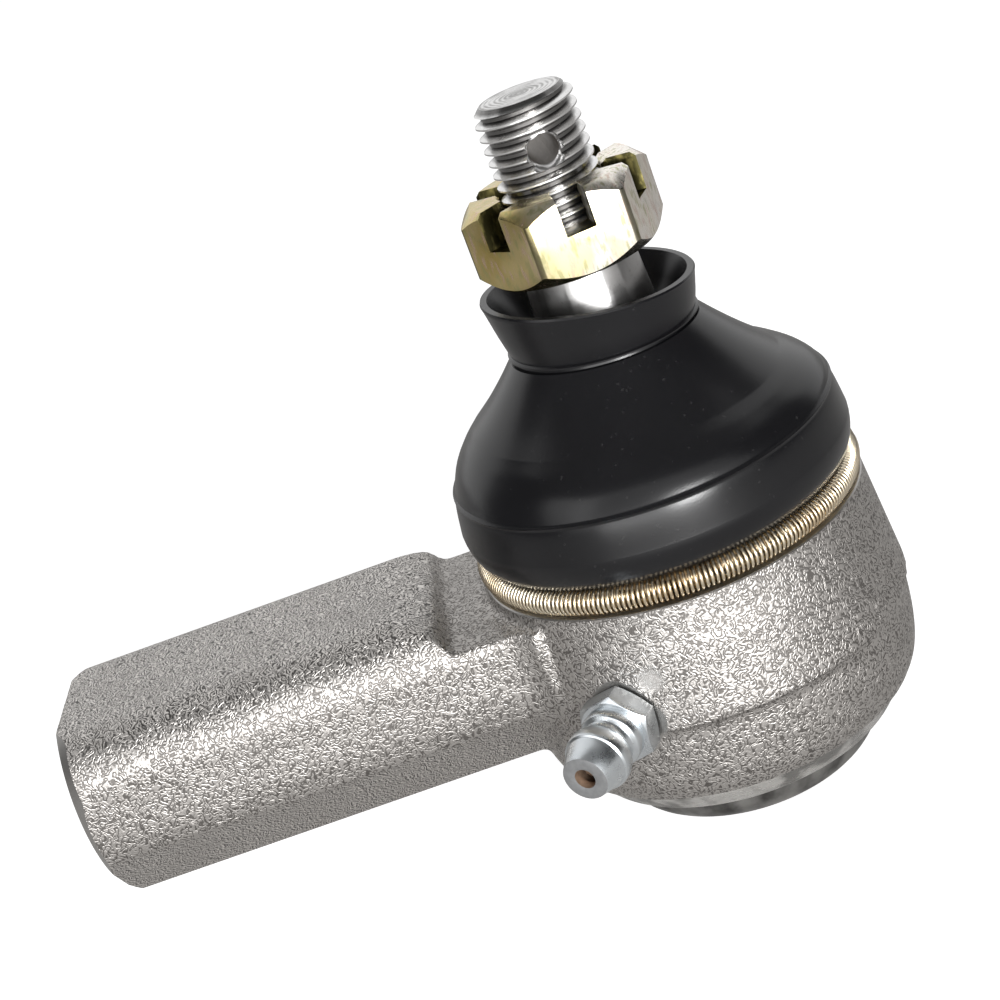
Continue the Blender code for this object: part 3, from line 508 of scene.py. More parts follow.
def machining_tools():
    """The cuts that follow the forging, each as a closed solid with the finish that it leaves."""
    machined = machined_steel()
    far = 5 * MM
    edge = 0.5 * MM
    rim = [(0, seat_top + far), (rim_radius + edge, seat_top + far)]
    rim += [(rim_radius + edge, rim_z - rim_chamfer - edge), (rim_radius - rim_chamfer, rim_z)]
    rim += [(boot_seat_radius, rim_z), (boot_seat_radius, seat_top - edge)]
    rim += [(boot_seat_radius - edge, seat_top), (0, seat_top)]
    yield spin("rim_tool", rim), machined
    lip = [(body_radius + far, foot_z - lip_step), (body_radius + far, -far), (lip_inner_radius, -far)]
    lip += [(lip_inner_radius, lip_foot), (lip_edge_radius + 0.1 * MM, lip_foot)]
    lip += arc((lip_edge_radius, lip_foot + lip_round), lip_round, -80, -35, 5)
    lip += [(foot_radius - edge, foot_z - lip_step)]
    yield spin("lip_tool", lip, ring=True), rolled_steel()
    cavity = [(0, seat_top + far), (mouth_radius + mouth_flare, seat_top + far), (mouth_radius, cavity_top_z)]
    cavity += [(cavity_top_radius, cavity_top_z), (cavity_radius, cavity_cone_z)]
    cavity += [(cavity_radius, plate_seat_z), (plate_seat_radius, plate_seat_z)]
    cavity += [(plate_seat_radius, lip_throat_z), (lip_inner_radius, lip_throat_z)]
    cavity += [(lip_inner_radius, -far), (0, -far)]
    yield spin("cavity_tool", cavity), machined
    wide = 17 * MM
    facing = [(0, far), (wide, far), (wide, -shank_chamfer)]
    facing += [(shank_face_radius + shank_chamfer, -shank_chamfer), (shank_face_radius, 0), (0, 0)]
    yield along_shank(spin("facing_tool", facing)), machined
    drill = [(0, far), (rod_bore_radius + MM + far, far), (rod_bore_radius, -MM)]
    drill += [(rod_bore_radius, -rod_bore_depth), (0, -rod_bore_depth - rod_bore_radius / 2)]
    yield along_shank(spin("rod_drill", drill)), machined
    tap_end = 2.5 * MM - rod_bore_depth
    tap = threaded_rod("rod_tap", rod_thread_radius, rod_thread_pitch, rod_thread_depth, tap_end, 2 * MM)
    yield along_shank(tap), machined
    hole = [(0, far), (nipple_spot_radius, far), (nipple_spot_radius, 0), (nipple_hole_radius, 0)]
    hole += [(nipple_hole_radius, -nipple_hole_depth), (0, -nipple_hole_depth)]
    yield along_nipple(spin("nipple_drill", hole, steps=64)), machined


forging = smooth_forging(forged_body(), forged_shank())
forging.data.materials.append(forged_skin())
for tool, left_finish in machining_tools():
    tool.data.materials.append(left_finish)
    combine(forging, tool)
soften(forging, 0, angle=32)
fit(forging, "socket_housing")
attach(forging, "housing")

# Grease nipple: a zinc plated steel fitting with a hexagon, a waist and a button head that the grease gun
# grips. It is turned and screwed into the housing, and a small ball on a spring shuts it from inside.


def white_zinc():
    """Bluish zinc plate over turned steel."""
    finish = new_finish("white_zinc")
    cloud = finish.noise(1.6 * MM, detail=3.0)
    marks = finish.noise(0.18 * MM, detail=2.0)
    colour = finish.mix(cloud, (0.56, 0.60, 0.63, 1), (0.74, 0.77, 0.79, 1))
    return finish.surface(Base_Color=colour, Roughness=0.20 + cloud * 0.10 + marks * 0.08, Metallic=1.0,
                          Normal=finish.bump(marks, 0.012 * MM, 0.5))


def matt_zinc():
    """Duller plating on the nipple's flat tip."""
    finish = new_finish("matt_zinc")
    cloud = finish.noise(0.6 * MM, detail=3.0)
    colour = finish.mix(cloud, (0.22, 0.225, 0.23, 1), (0.36, 0.365, 0.37, 1))
    return finish.surface(Base_Color=colour, Roughness=0.45, Metallic=0.8)


def grease_stain():
    """Brown grease inside the nipple."""
    finish = new_finish("grease_stain")
    cloud = finish.noise(0.5 * MM, detail=2.0)
    colour = finish.mix(cloud, (0.16, 0.10, 0.06, 1), (0.42, 0.30, 0.22, 1))
    return finish.surface(Base_Color=colour, Roughness=0.35, Metallic=0.5)


def nipple_body():
    """Turned body with a bored chamber, joined to its hexagon."""
    head = mm((2.27, 10.0), (2.85, 8.1), (2.98, 7.5), (3.2, 7.4), (3.27, 7.1), (3.27, 6.4), (3.12, 5.85))
    waist = mm((2.85, 5.4), (2.5, 5.15), (2.5, 4.45), (2.6, 4.25), (3.0, 4.1))
    stem = mm((3.1, 3.9), (3.1, 2.9), (3.0, 2.6), (3.0, -5.25))
    chamber = mm((1.15, -5.25), (1.15, 0.9), (1.65, 0.9), (1.65, 9.0), (1.05, 9.0), (1.05, 10.0))
    body = spin("grease_nipple_body", head + waist + stem + chamber, steps=64, ring=True)
    height = 2.4 * MM
    foot = 0.3 * MM
    across_flats = 7.0 * MM
    turn = math.radians(22)
    bpy.ops.mesh.primitive_cylinder_add(vertices=6, radius=across_flats / math.sqrt(3), depth=height,
                                        location=(0, 0, foot + height / 2), rotation=(0, 0, turn))
    hexagon = bpy.context.object
    bpy.ops.object.transform_apply()
    flat = across_flats / 2 - 0.05 * MM
    wide = flat + 0.8 * MM
    blank = [(0, foot + height), (flat, foot + height), (wide, foot + height - 0.5 * MM)]
    blank += [(wide, foot + 0.3 * MM), (flat, foot), (0, foot)]
    combine(hexagon, spin("hexagon_blank", blank, steps=96), "INTERSECT")
    core_radius = 2.3 * MM
    core = [(0, foot + height + MM), (core_radius, foot + height + MM), (core_radius, 0), (0, 0)]
    combine(hexagon, spin("hexagon_core", core, steps=64))
    combine(body, hexagon, "UNION")
    soften(body, 0.08 * MM, angle=28)
    return along_nipple(body)


nipple = nipple_body()
dress(nipple, white_zinc(), matt_zinc(), grease_stain())
fit(nipple, "grease_nipple")
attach(nipple, "housing")
for face in nipple.data.polygons:
    corners = [nipple.data.vertices[i].co - nipple_seat for i in face.vertices]
    heights = [corner.dot(nipple_way) for corner in corners]
    radii = [(corner - nipple_way * height).length for corner, height in zip(corners, heights)]
    if min(heights) > 9.9 * MM and max(radii) < 2.3 * MM and min(radii) > 1.0 * MM:
        face.material_index = 1
    elif max(radii) < 1.7 * MM:
        face.material_index = 2

bpy.ops.mesh.primitive_uv_sphere_add(segments=32, ring_count=20, radius=1.35 * MM,
                                     location=nipple_seat + nipple_way * nipple_ball_height)
check_ball = bpy.context.object
check_ball.name = "nipple_check_ball_steel"
bpy.ops.object.transform_apply()
bpy.ops.object.shade_smooth()
dress(check_ball, grease_stain())
fit(check_ball, "nipple_check_ball")
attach(check_ball, "check_ball")


def drawn_wire():
    """Drawn spring wire, grey with a faint blue temper."""
    finish = new_finish("drawn_wire")
    cloud = finish.noise(2 * MM, detail=2.0)
    colour = finish.mix(cloud, (0.24, 0.24, 0.26, 1), (0.40, 0.40, 0.42, 1))
    return finish.surface(Base_Color=colour, Roughness=0.30 + cloud * 0.12, Metallic=1.0)


def bend_wire(name, points, radius, resolution, closed=False):
    """Bends a round wire through points. An open wire gets flat ends."""
    curve = bpy.data.curves.new(name, "CURVE")
    curve.dimensions = "3D"
    curve.bevel_depth = radius
    curve.bevel_resolution = resolution
    curve.use_fill_caps = not closed
    spline = curve.splines.new("POLY")
    spline.points.add(len(points) - 1)
    for knot, (x, y, z) in zip(spline.points, points):
        knot.co = (x, y, z, 1)
    spline.use_cyclic_u = closed
    wire = bpy.data.objects.new(name, curve)
    bpy.context.scene.collection.objects.link(wire)
    pick(wire)
    bpy.ops.object.convert(target="MESH")
    if not closed:
        bpy.ops.object.mode_set(mode="EDIT")
        close_up()
    bpy.ops.object.shade_smooth()
    return bpy.context.object


def coil(name, radius, wire_radius, low, high, turns):
    """A compression spring about Z with a flat half turn at each end."""
    per_turn = 24
    count = turns * per_turn
    flat = 0.5 / turns
    points = []
    for i in range(count + 1):
        angle = math.tau * i / per_turn
        rise = min(max((i / count - flat) / (1 - 2 * flat), 0), 1)
        height = low + wire_radius + (high - low - 2 * wire_radius) * rise
        points.append((radius * math.cos(angle), radius * math.sin(angle), height))
    return bend_wire(name, points, wire_radius, 2)


spring_wire = drawn_wire()
check_spring_foot = 1.2 * MM
check_spring_top = 6.6 * MM
check_spring = coil("nipple_check_spring_wire", 1.2 * MM, 0.15 * MM, check_spring_foot, check_spring_top, 6)
along_nipple(check_spring)
dress(check_spring, spring_wire)
fit(check_spring, "nipple_check_spring")
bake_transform(check_spring)

# Ball seats, preload spring and closing plate: the moulded upper seat goes in first, then the stud's ball,
# the lower seat and its wire spring. The pressed plate shuts the socket, and the housing's lip is rolled
# over its flange.


def seat_plastic():
    """Natural acetal with faint flow marks."""
    finish = new_finish("seat_plastic")
    flow = finish.noise(4 * MM, detail=2.0)
    colour = finish.mix(flow, (0.70, 0.67, 0.58, 1), (0.80, 0.78, 0.70, 1))
    return finish.surface(Base_Color=colour, Roughness=0.42 + flow * 0.1)


acetal = seat_plastic()
for seat in ("upper_ball_seat", "lower_ball_seat"):
    dress(frame["nodes"][seat], acetal)

spring_low, spring_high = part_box("preload_spring")
preload_spring = coil("preload_spring_wire", 7.1 * MM, 0.8 * MM, spring_low.z, spring_high.z, 3)
dress(preload_spring, spring_wire)
fit(preload_spring, "preload_spring")
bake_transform(preload_spring)


def pressed_steel():
    """Smooth pressed plate, dark with oil and mottled by stains."""
    finish = new_finish("pressed_steel")
    stains = finish.noise(3.5 * MM, detail=4.0)
    scuffs = finish.noise(0.7 * MM, detail=2.0, stretch=(4, 1, 1))
    colour = finish.mix(finish.between(stains, 0.3, 0.7), (0.08, 0.078, 0.075, 1), (0.36, 0.355, 0.345, 1))
    roughness = 0.24 + stains * 0.14 + scuffs * 0.06
    return finish.surface(Base_Color=colour, Roughness=roughness, Metallic=1.0)


dish_radius = 14.7 * MM
dish_corner = 3.6 * MM
plate_thickness = 2.0 * MM
flange_radius = 16.1 * MM
flange_top_z = 7.3 * MM
flange_foot_z = 5.6 * MM
corner_middle = (dish_radius - dish_corner, dish_corner)
plate = [(0, plate_thickness)] + arc(corner_middle, dish_corner - plate_thickness, -90, 0, 6)
plate += [(dish_radius - plate_thickness, flange_top_z), (flange_radius, flange_top_z)]
plate += [(flange_radius, flange_foot_z), (dish_radius, flange_foot_z)]
plate += arc(corner_middle, dish_corner, 0, -90, 12) + [(0, 0)]
closing_plate = soften(spin("closing_plate_pressing", plate), 0.15 * MM)
dress(closing_plate, pressed_steel())
fit(closing_plate, "closing_plate")
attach(closing_plate, "housing")

# Ball stud: one piece of alloy steel, turned and ground on ball and taper, with a rolled M10x1.25 thread and
# a countersunk cross hole for a cotter pin. Its ball is held between the two seats.

stud_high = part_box("ball_stud")[1]
ball_radius = stud_high.x
stud_top = stud_high.z
thread_radius = 5.0 * MM
thread_pitch = 1.25 * MM
thread_depth = 0.77 * MM
thread_end_radius = 4.05 * MM
taper_length = 15 * MM
taper_foot_z = ball_centre.z + 21.5 * MM
taper_top_z = taper_foot_z + taper_length
taper_small_radius = 5.7 * MM
taper_large_radius = taper_small_radius + taper_length / 16
neck_radius = 5.7 * MM
cotter_hole_radius = 1.52 * MM
cotter_hole_z = stud_top - 4.45 * MM
cotter_azimuth = math.radians(-84)
cotter_tilt = math.radians(-6)
cotter_sink_radius = thread_radius - 0.95 * MM
cotter_sink_slope = 0.63


def bright_steel():
    """Ground steel with rolled and turned marks round its axis, some haze, darker colour below the thread,
    and painted shade in the thread's roots.
    """
    finish = new_finish("bright_steel")
    x, y, z = finish.axes()
    radius = finish.axial_radius()
    haze = finish.noise(1.9 * MM, detail=4.0)
    rings = finish.noise(0.10 * MM, detail=1.0, stretch=(40, 40, 1))
    specks = finish.between(finish.noise(0.3 * MM, detail=2.0, seed=(9, 4, 2)), 0.62, 0.72)
    colour = finish.mix(haze, (0.66, 0.655, 0.65, 1), (0.90, 0.895, 0.89, 1))
    thread = finish.between(z, taper_top_z, taper_top_z + 0.5 * MM)
    # Below the thread, the taper, neck and ball are coloured darker than the thread.
    taper_toned_darker = finish.mix((1 - thread) * 0.65, colour, (0.28, 0.275, 0.27, 1))
    dull = finish.mix(specks * 0.35, taper_toned_darker, (0.25, 0.24, 0.23, 1))
    # The thread's roots are painted dark: painted shade in the grooves.
    root = finish.between(radius, thread_radius - 0.28 * MM, thread_radius - 0.70 * MM) * thread
    root_painted_shade = finish.mix(root * 0.85, dull, (0.07, 0.066, 0.063, 1))
    roughness = 0.22 + haze * 0.12 + rings * 0.08 - thread * 0.08
    return finish.surface(Base_Color=root_painted_shade, Roughness=roughness, Metallic=1.0,
                          Normal=finish.bump(rings + specks * 0.6, 0.012 * MM, 0.5))


def turned_end():
    """The stud's matt end face, with the turning tool's rings and a rough middle."""
    finish = new_finish("turned_end")
    radius = finish.axial_radius()
    cloud = finish.noise(1.5 * MM, detail=3.0)
    rings = (radius * (math.tau / (0.5 * MM)) + cloud * 5.0).sine() * 0.5 + 0.5
    rough = finish.between(radius, 1.4 * MM, 0.6 * MM)
    worn = finish.between(rings * 0.35 + cloud * 0.9 + rough * 0.15, 0.45, 0.95)
    colour = finish.mix(worn, (0.80, 0.795, 0.79, 1), (0.30, 0.295, 0.29, 1))
    return finish.surface(Base_Color=colour, Roughness=0.30 + cloud * 0.1, Metallic=0.9,
                          Normal=finish.bump(rings * 0.7 + cloud * 2.5, 0.10 * MM, 0.8))


def cross_hole_shade():
    """Inside of the cross hole: dark and brownish as painted shade in the hole, with fine drill marks."""
    finish = new_finish("cross_hole_shade")
    marks = finish.noise(0.3 * MM, detail=2.0, stretch=(1, 4, 1))
    colour = finish.mix(marks, (0.13, 0.115, 0.10, 1), (0.27, 0.25, 0.23, 1))
    return finish.surface(Base_Color=colour, Roughness=0.45 + marks * 0.1, Metallic=0.8)


def cotter_way(piece):
    """Turns a tool that was made along Z into the cross hole's direction."""
    turn = Matrix.Rotation(cotter_azimuth, 4, "Z") @ Matrix.Rotation(math.radians(90) - cotter_tilt, 4, "Y")
    return place(piece, Matrix.Translation((0, 0, cotter_hole_z)) @ turn)


def stud_body():
    """Ball, neck and taper by spinning, the thread by screwing, then the cross hole."""
    neck_angle = math.degrees(math.acos(neck_radius / ball_radius))
    core = thread_radius - thread_depth
    profile = [(0, taper_top_z + MM), (core, taper_top_z + MM), (core, taper_top_z)]
    profile += [(taper_small_radius - 0.3 * MM, taper_top_z), (taper_small_radius, taper_top_z - 0.3 * MM)]
    profile += [(taper_large_radius, taper_foot_z), (neck_radius, taper_foot_z - 2.5 * MM)]
    ball = arc((0, ball_centre.z), ball_radius, neck_angle, -76, 40)
    profile += ball + [(0, ball[-1][1])]
    body = spin("ball_stud_steel", profile, steps=96)
    low = taper_top_z - MM
    thread = threaded_rod("stud_thread", thread_radius, thread_pitch, thread_depth, low, stud_top + MM, 96)
    blank_radius = thread_radius + 0.2 * MM
    blank_foot = taper_top_z - 0.7 * MM
    blank = [(0, stud_top), (thread_end_radius, stud_top)]
    blank += [(blank_radius, stud_top - blank_radius + thread_end_radius), (blank_radius, blank_foot)]
    blank += [(0, blank_foot)]
    combine(thread, spin("thread_blank", blank, steps=96), "INTERSECT")
    combine(body, thread, "UNION")
    reach = thread_radius + MM
    sink = cotter_sink_radius
    flare = cotter_hole_radius + (reach - sink) * cotter_sink_slope
    hole = [(0, reach), (flare, reach), (cotter_hole_radius, sink), (cotter_hole_radius, -sink)]
    hole += [(flare, -reach), (0, -reach)]
    combine(body, cotter_way(spin("cotter_drill", hole, steps=64)))
    return soften(body, 0.04 * MM, 1, 25)


stud = stud_body()
dress(stud, bright_steel(), turned_end(), cross_hole_shade())
fit(stud, "ball_stud")
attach(stud, "stud")
drill_axis = Vector((math.cos(cotter_tilt), 0, math.sin(cotter_tilt)))
drill_axis.rotate(Matrix.Rotation(cotter_azimuth, 3, "Z"))
for face in stud.data.polygons:
    from_drill = face.center - Vector((0, 0, cotter_hole_z))
    along_drill = from_drill.dot(drill_axis)
    from_drill -= drill_axis * along_drill
    sink_radius = cotter_hole_radius + (abs(along_drill) - cotter_sink_radius) * cotter_sink_slope
    countersunk = abs(along_drill) > cotter_sink_radius and abs(from_drill.length - sink_radius) < 0.08 * MM
    if face.center.z > stud_top - 0.02 * MM or countersunk:
        face.material_index = 1
    elif from_drill.length < cotter_hole_radius + 0.02 * MM and abs(face.center.z - cotter_hole_z) < 3 * MM:
        face.material_index = 2

# Dust boot: black moulded rubber with a flared collar that wipes the steering arm, a bulged dome with the
# mould's parting line, and a bead that the garter spring squeezes onto the housing. A steel ring keeps its
# small end round.

boot_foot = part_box("dust_boot")[0].z + 0.4 * MM
boot_edge = (18.8 * MM, 32.05 * MM)
bead_radius = 17.3 * MM
boot_wall = 1.7 * MM
dome = mm((20.58, 35.5), (20.0, 38.9), (19.0, 41.1), (17.5, 42.75))
dome += mm((15.8, 44.15), (13.75, 46.0), (11.7, 48.1), (9.75, 50.3))
neck_z = dome[-1][1]
collar_z = neck_z + 5.5 * MM
collar_radius = 10.6 * MM
parting_z = 39.45 * MM
# How far the boot leans to the left at its heights, as a rise over a run
boot_lean = [(33.0 * MM, 0.0), (40.2 * MM, 0.0), (44.0 * MM, 0.055), (neck_z, 0.044), (collar_z, 0.157)]


def black_rubber():
    """Satin rubber with a fine moulded grain, faint bloom and scuffs."""
    finish = new_finish("black_rubber")
    bloom = finish.noise(11 * MM, detail=4.0)
    grain = finish.noise(0.16 * MM, detail=2.0)
    specks = finish.between(finish.noise(0.5 * MM, detail=1.0, seed=(2, 8, 1)), 0.70, 0.80)
    colour = finish.mix(bloom, (0.003, 0.003, 0.0035, 1), (0.007, 0.007, 0.008, 1))
    dusty = finish.mix(specks * 0.4, colour, (0.03, 0.03, 0.03, 1))
    return finish.surface(Base_Color=dusty, Roughness=0.22 + bloom * 0.07, Specular_IOR_Level=0.34,
                          Normal=finish.bump(grain, 0.012 * MM, 0.5))


def through(points, steps):
    """A smooth line through points, with steps between each two of them."""
    line = []
    ends = [points[0]] + points + [points[-1]]
    for before, start, end, after in zip(ends, ends[1:], ends[2:], ends[3:]):
        for i in range(steps):
            t = i / steps
            weights = (-t + 2 * t * t - t ** 3, 2 - 5 * t * t + 3 * t ** 3)
            weights += (t + 4 * t * t - 3 * t ** 3, t ** 3 - t * t)
            corners = (before, start, end, after)
            line.append(tuple(sum(w * c[k] for w, c in zip(weights, corners)) / 2 for k in (0, 1)))
    return line + [points[-1]]


def boot_profile():
    """The boot's section: its outside up from the bead, with the mould's flash, then its inside back down."""
    outside = [(bead_radius, boot_foot), (bead_radius, boot_edge[1])]
    outside += quarter(dome[0], boot_edge, 10)[:0:-1]
    for radius, z in through(dome, 20):
        flash = 0.22 * MM * max(0, 1 - abs(z - parting_z) / (0.22 * MM))
        outside.append((radius + flash, z))
    collar = mm((9.35, 0.05), (9.3, 0.3), (9.75, 0.4), (9.75, 0.55), (9.5, 0.7), (9.65, 1.2), (10.0, 2.6))
    outside += [(radius, neck_z + up) for radius, up in collar]
    outside += [(collar_radius - 0.1 * MM, collar_z - 0.5 * MM), (collar_radius, collar_z - 0.2 * MM)]
    outside += [(collar_radius - 0.1 * MM, collar_z)]
    throat = mm((8.6, 2.8), (7.5, 1.0), (6.5, 0))
    throat += mm((6.55, -0.7), (8.2, -0.7), (8.2, -2.5), (6.65, -2.5), (6.7, -3.2), (9.3, -3.2))
    inside = [(collar_radius - 0.75 * MM, collar_z)]
    inside += [(radius, neck_z + up) for radius, up in throat]
    inside += [(radius - 1.15 * MM, z - 1.25 * MM) for radius, z in dome[-2:1:-1]]
    bead_bore = 16.1 * MM
    inside += [(dome[0][0] - boot_wall, dome[0][1]), (bead_bore, seat_top + 0.3 * MM), (bead_bore, boot_foot)]
    return outside + inside


def lean_of_boot(z):
    """The boot's lean at a height, read off between the given heights."""
    for (low, start), (high, end) in zip(boot_lean, boot_lean[1:]):
        if low <= z <= high:
            return start + (end - start) * (z - low) / (high - low)
    return 0.0


boot = spin("dust_boot_rubber", boot_profile(), ring=True)
for vertex in boot.data.vertices:
    vertex.co.z -= vertex.co.x * lean_of_boot(vertex.co.z)
soften(boot, 0, angle=40)
dress(boot, black_rubber())
fit(boot, "dust_boot")
neck_z - 3.3 * MM
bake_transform(boot)

dress(frame["nodes"]["boot_neck_ring"], spring_wire)


def gold_wire():
    """Fine plated wire, pale gold with browner stretches."""
    finish = new_finish("gold_wire")
    cloud = finish.noise(7 * MM, detail=2.0)
    colour = finish.mix(finish.between(cloud, 0.35, 0.7), (0.72, 0.64, 0.50, 1), (0.62, 0.50, 0.34, 1))
    return finish.surface(Base_Color=colour, Roughness=0.20 + cloud * 0.10, Metallic=1.0)


def garter_coils():
    """Close coils laid in a ring round the boot's bead."""
    garter_low, garter_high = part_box("garter_spring")
    swell = 0.25 * MM
    middle_z = (garter_low.z + garter_high.z) / 2 + swell
    coil_radius = (garter_high.z - garter_low.z) / 2 + swell
    ring_radius = garter_high.x - coil_radius + 0.45 * MM
    wire_radius = 0.19 * MM
    coils = 246
    per_coil = 14
    count = coils * per_coil
    points = []
    for i in range(count):
        around = math.tau * i / count
        roll = math.tau * i / per_coil
        radius = ring_radius + (coil_radius - wire_radius) * math.cos(roll)
        height = middle_z + (coil_radius - wire_radius) * math.sin(roll)
        points.append((radius * math.cos(around), radius * math.sin(around), height))
    return bend_wire("garter_spring_wire", points, wire_radius, 1, closed=True)


garter = garter_coils()
dress(garter, gold_wire())
fit(garter, "garter_spring")
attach(garter, "boot")

# Castle nut: a cold formed hexagon nut of steel with six slots in its top for the cotter pin. It is chamfered
# at both ends, tapped, screwed onto the stud and plated with yellow passivated zinc.

nut_low, nut_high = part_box("castle_nut")
nut_foot = nut_low.z
nut_top = nut_high.z + 0.3 * MM
nut_across_flats = 17 * MM
nut_top_radius = 8.15 * MM
nut_face_azimuth = math.radians(-81.5)
nut_slot_width = 3.0 * MM
nut_slot_depth = 3.85 * MM


def yellow_zinc():
    """Yellow passivated zinc in steep rose and green streaks, with painted light: the left side olive gold as
    painted shade, the front pale, the right near white as painted highlight, and dark corners as painted
    reflection.
    """
    finish = new_finish("yellow_zinc")
    x, y, z = finish.axes()
    drift = finish.noise(4.2 * MM, detail=3.0, stretch=(1, 1, 1.4))
    streaks = finish.noise(0.55 * MM, detail=3.0, stretch=(1, 1, 3.5), seed=(4, 7, 2))
    edge = finish.between(finish.axial_radius(), 9.60 * MM, 9.66 * MM)
    gold = finish.mix(finish.between(drift, 0.38, 0.62), (0.50, 0.39, 0.14, 1), (0.60, 0.49, 0.23, 1))
    pale = finish.mix(finish.between(drift, 0.42, 0.60), (0.84, 0.75, 0.46, 1), (0.86, 0.83, 0.74, 1))
    # The left side is painted olive gold and the front pale: painted shade and painted light on one plating.
    left = finish.mix(finish.between(x, -5 * MM, -1 * MM), gold, pale)
    # The right side is painted near white: a painted highlight.
    side = finish.mix(finish.between(x, 3 * MM, 6 * MM) * 0.8, left, (0.95, 0.90, 0.84, 1))
    rose = finish.mix(finish.between(streaks, 0.53, 0.68) * 0.6, side, (0.66, 0.47, 0.38, 1))
    green = finish.mix(finish.between(streaks, 0.47, 0.34) * 0.6, rose, (0.40, 0.40, 0.18, 1))
    # The rounded corners are painted dark: a painted reflection on the edges.
    colour = finish.mix(edge * 0.8, green, (0.10, 0.09, 0.045, 1))
    return finish.surface(Base_Color=colour, Roughness=0.18 + streaks * 0.14, Metallic=1.0,
                          Normal=finish.bump(streaks, 0.02 * MM, 0.5))


def slot_painted_shade():
    """Dark olive zinc inside the nut's slots: painted shade in the slots."""
    finish = new_finish("slot_painted_shade")
    streaks = finish.noise(0.8 * MM, detail=3.0, stretch=(1, 1, 2))
    colour = finish.mix(finish.between(streaks, 0.45, 0.7), (0.05, 0.045, 0.018, 1), (0.22, 0.19, 0.07, 1))
    return finish.surface(Base_Color=colour, Roughness=0.32, Metallic=1.0)


def nut_body():
    """Hexagon bar with rounded corners, chamfered by a turned form, bored, tapped and slotted."""
    height = nut_top - nut_foot
    corner_radius = nut_across_flats / math.sqrt(3)
    bpy.ops.mesh.primitive_cylinder_add(vertices=6, radius=corner_radius, depth=2 * height,
                                        location=(0, 0, nut_foot + height / 2))
    nut = bpy.context.object
    nut.name = "castle_nut_zinc"
    corner = max(nut.data.vertices, key=lambda vertex: vertex.co.x)
    corner_azimuth = math.atan2(corner.co.y, corner.co.x)
    nut.rotation_euler.z = nut_face_azimuth + math.radians(30) - corner_azimuth
    bpy.ops.object.transform_apply()
    soften(nut, 0.45 * MM, 5)
    foot_radius = nut_across_flats / 2 - 0.2 * MM
    wide = corner_radius + 0.2 * MM
    blank = [(0, nut_top), (nut_top_radius, nut_top), (wide, nut_top - wide + nut_top_radius)]
    blank += [(wide, nut_foot + wide - foot_radius), (foot_radius, nut_foot), (0, nut_foot)]
    combine(nut, spin("nut_blank", blank, steps=180), "INTERSECT")
    bore = 5.1 * MM
    over = MM
    sink = 0.4 * MM
    drill = [(0, nut_top + over), (bore + sink + over, nut_top + over), (bore, nut_top - sink)]
    drill += [(bore, nut_foot + sink), (bore + sink + over, nut_foot - over), (0, nut_foot - over)]
    combine(nut, spin("nut_drill", drill, steps=96))
    tap_radius = bore + 0.6 * MM
    tap = threaded_rod("nut_tap", tap_radius, thread_pitch, 0.7 * MM, nut_foot - over, nut_top + over)
    combine(nut, tap)
    for i in range(3):
        bpy.ops.mesh.primitive_cube_add(size=1, location=(0, 0, nut_top),
                                        rotation=(0, 0, nut_face_azimuth + i * math.radians(60)))
        slot = bpy.context.object
        slot.scale = (3 * nut_across_flats, nut_slot_width, 2 * nut_slot_depth)
        bpy.ops.object.transform_apply()
        combine(nut, slot)
    return soften(nut, 0.13 * MM, 2, 28)


nut = nut_body()
dress(nut, yellow_zinc(), slot_painted_shade())
fit(nut, "castle_nut")
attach(nut, "nut")
slot_turns = [Matrix.Rotation(nut_face_azimuth + i * math.radians(60), 3, "Z") for i in range(3)]
slot_ways = [slot_turn @ Vector((0, 1, 0)) for slot_turn in slot_turns]
for face in nut.data.polygons:
    off_slot = min(abs(face.center.dot(way)) for way in slot_ways)
    in_slot = nut_top - nut_slot_depth - 0.05 * MM < face.center.z < nut_top - 0.05 * MM
    if in_slot and off_slot < nut_slot_width / 2 + 0.02 * MM:
        face.material_index = 1

# Studio: a white floor under the part, white all round, dark cards at the sides and above that only show in
# the metal, and soft lamps in front. The camera stands where the photograph was taken, rolled to the left.


def white_floor():
    """A floor that is white to the camera, keeps the part's shadow, and shines in the metal from in front."""
    finish = new_finish("white_floor")
    tree = finish.tree
    mirrored = finish.ray("Glossy")
    x, y, z = finish.axes()
    ahead = finish.between(y, -0.07, -0.13) * finish.between(x, 0.14, 0.07)
    ahead = ahead * finish.between(x + y * 1.1, -0.21, -0.15)
    white = finish.mix(mirrored, (0.80, 0.80, 0.80, 1), (0.45, 0.44, 0.43, 1))
    matt = finish.node("ShaderNodeBsdfDiffuse", {}, {"Color": white})
    shine = (mirrored + finish.ray("Transmission")) * (0.10 + ahead)
    glow = finish.node("ShaderNodeEmission", {}, {"Strength": finish.ray("Camera") * 0.66 + shine})
    both = finish.node("ShaderNodeAddShader", {}, {0: matt, 1: glow})
    tree.links.new(both.socket, tree.nodes["Material Output"].inputs["Surface"])
    return finish.owner


bpy.ops.mesh.primitive_plane_add(size=12, location=(0, 0, -0.2 * MM))
floor = bpy.context.object
floor.name = "studio_floor"
floor.data.materials.append(white_floor())

world = bpy.data.worlds.new("white_room")
bpy.context.scene.world = world
room = Finish(world)
showing = room.ray("Camera") + room.ray("Glossy") + room.ray("Transmission")
room.feed(room.tree.nodes["Background"], {"Color": (1, 1, 1, 1), "Strength": showing * 0.55 + 0.45})


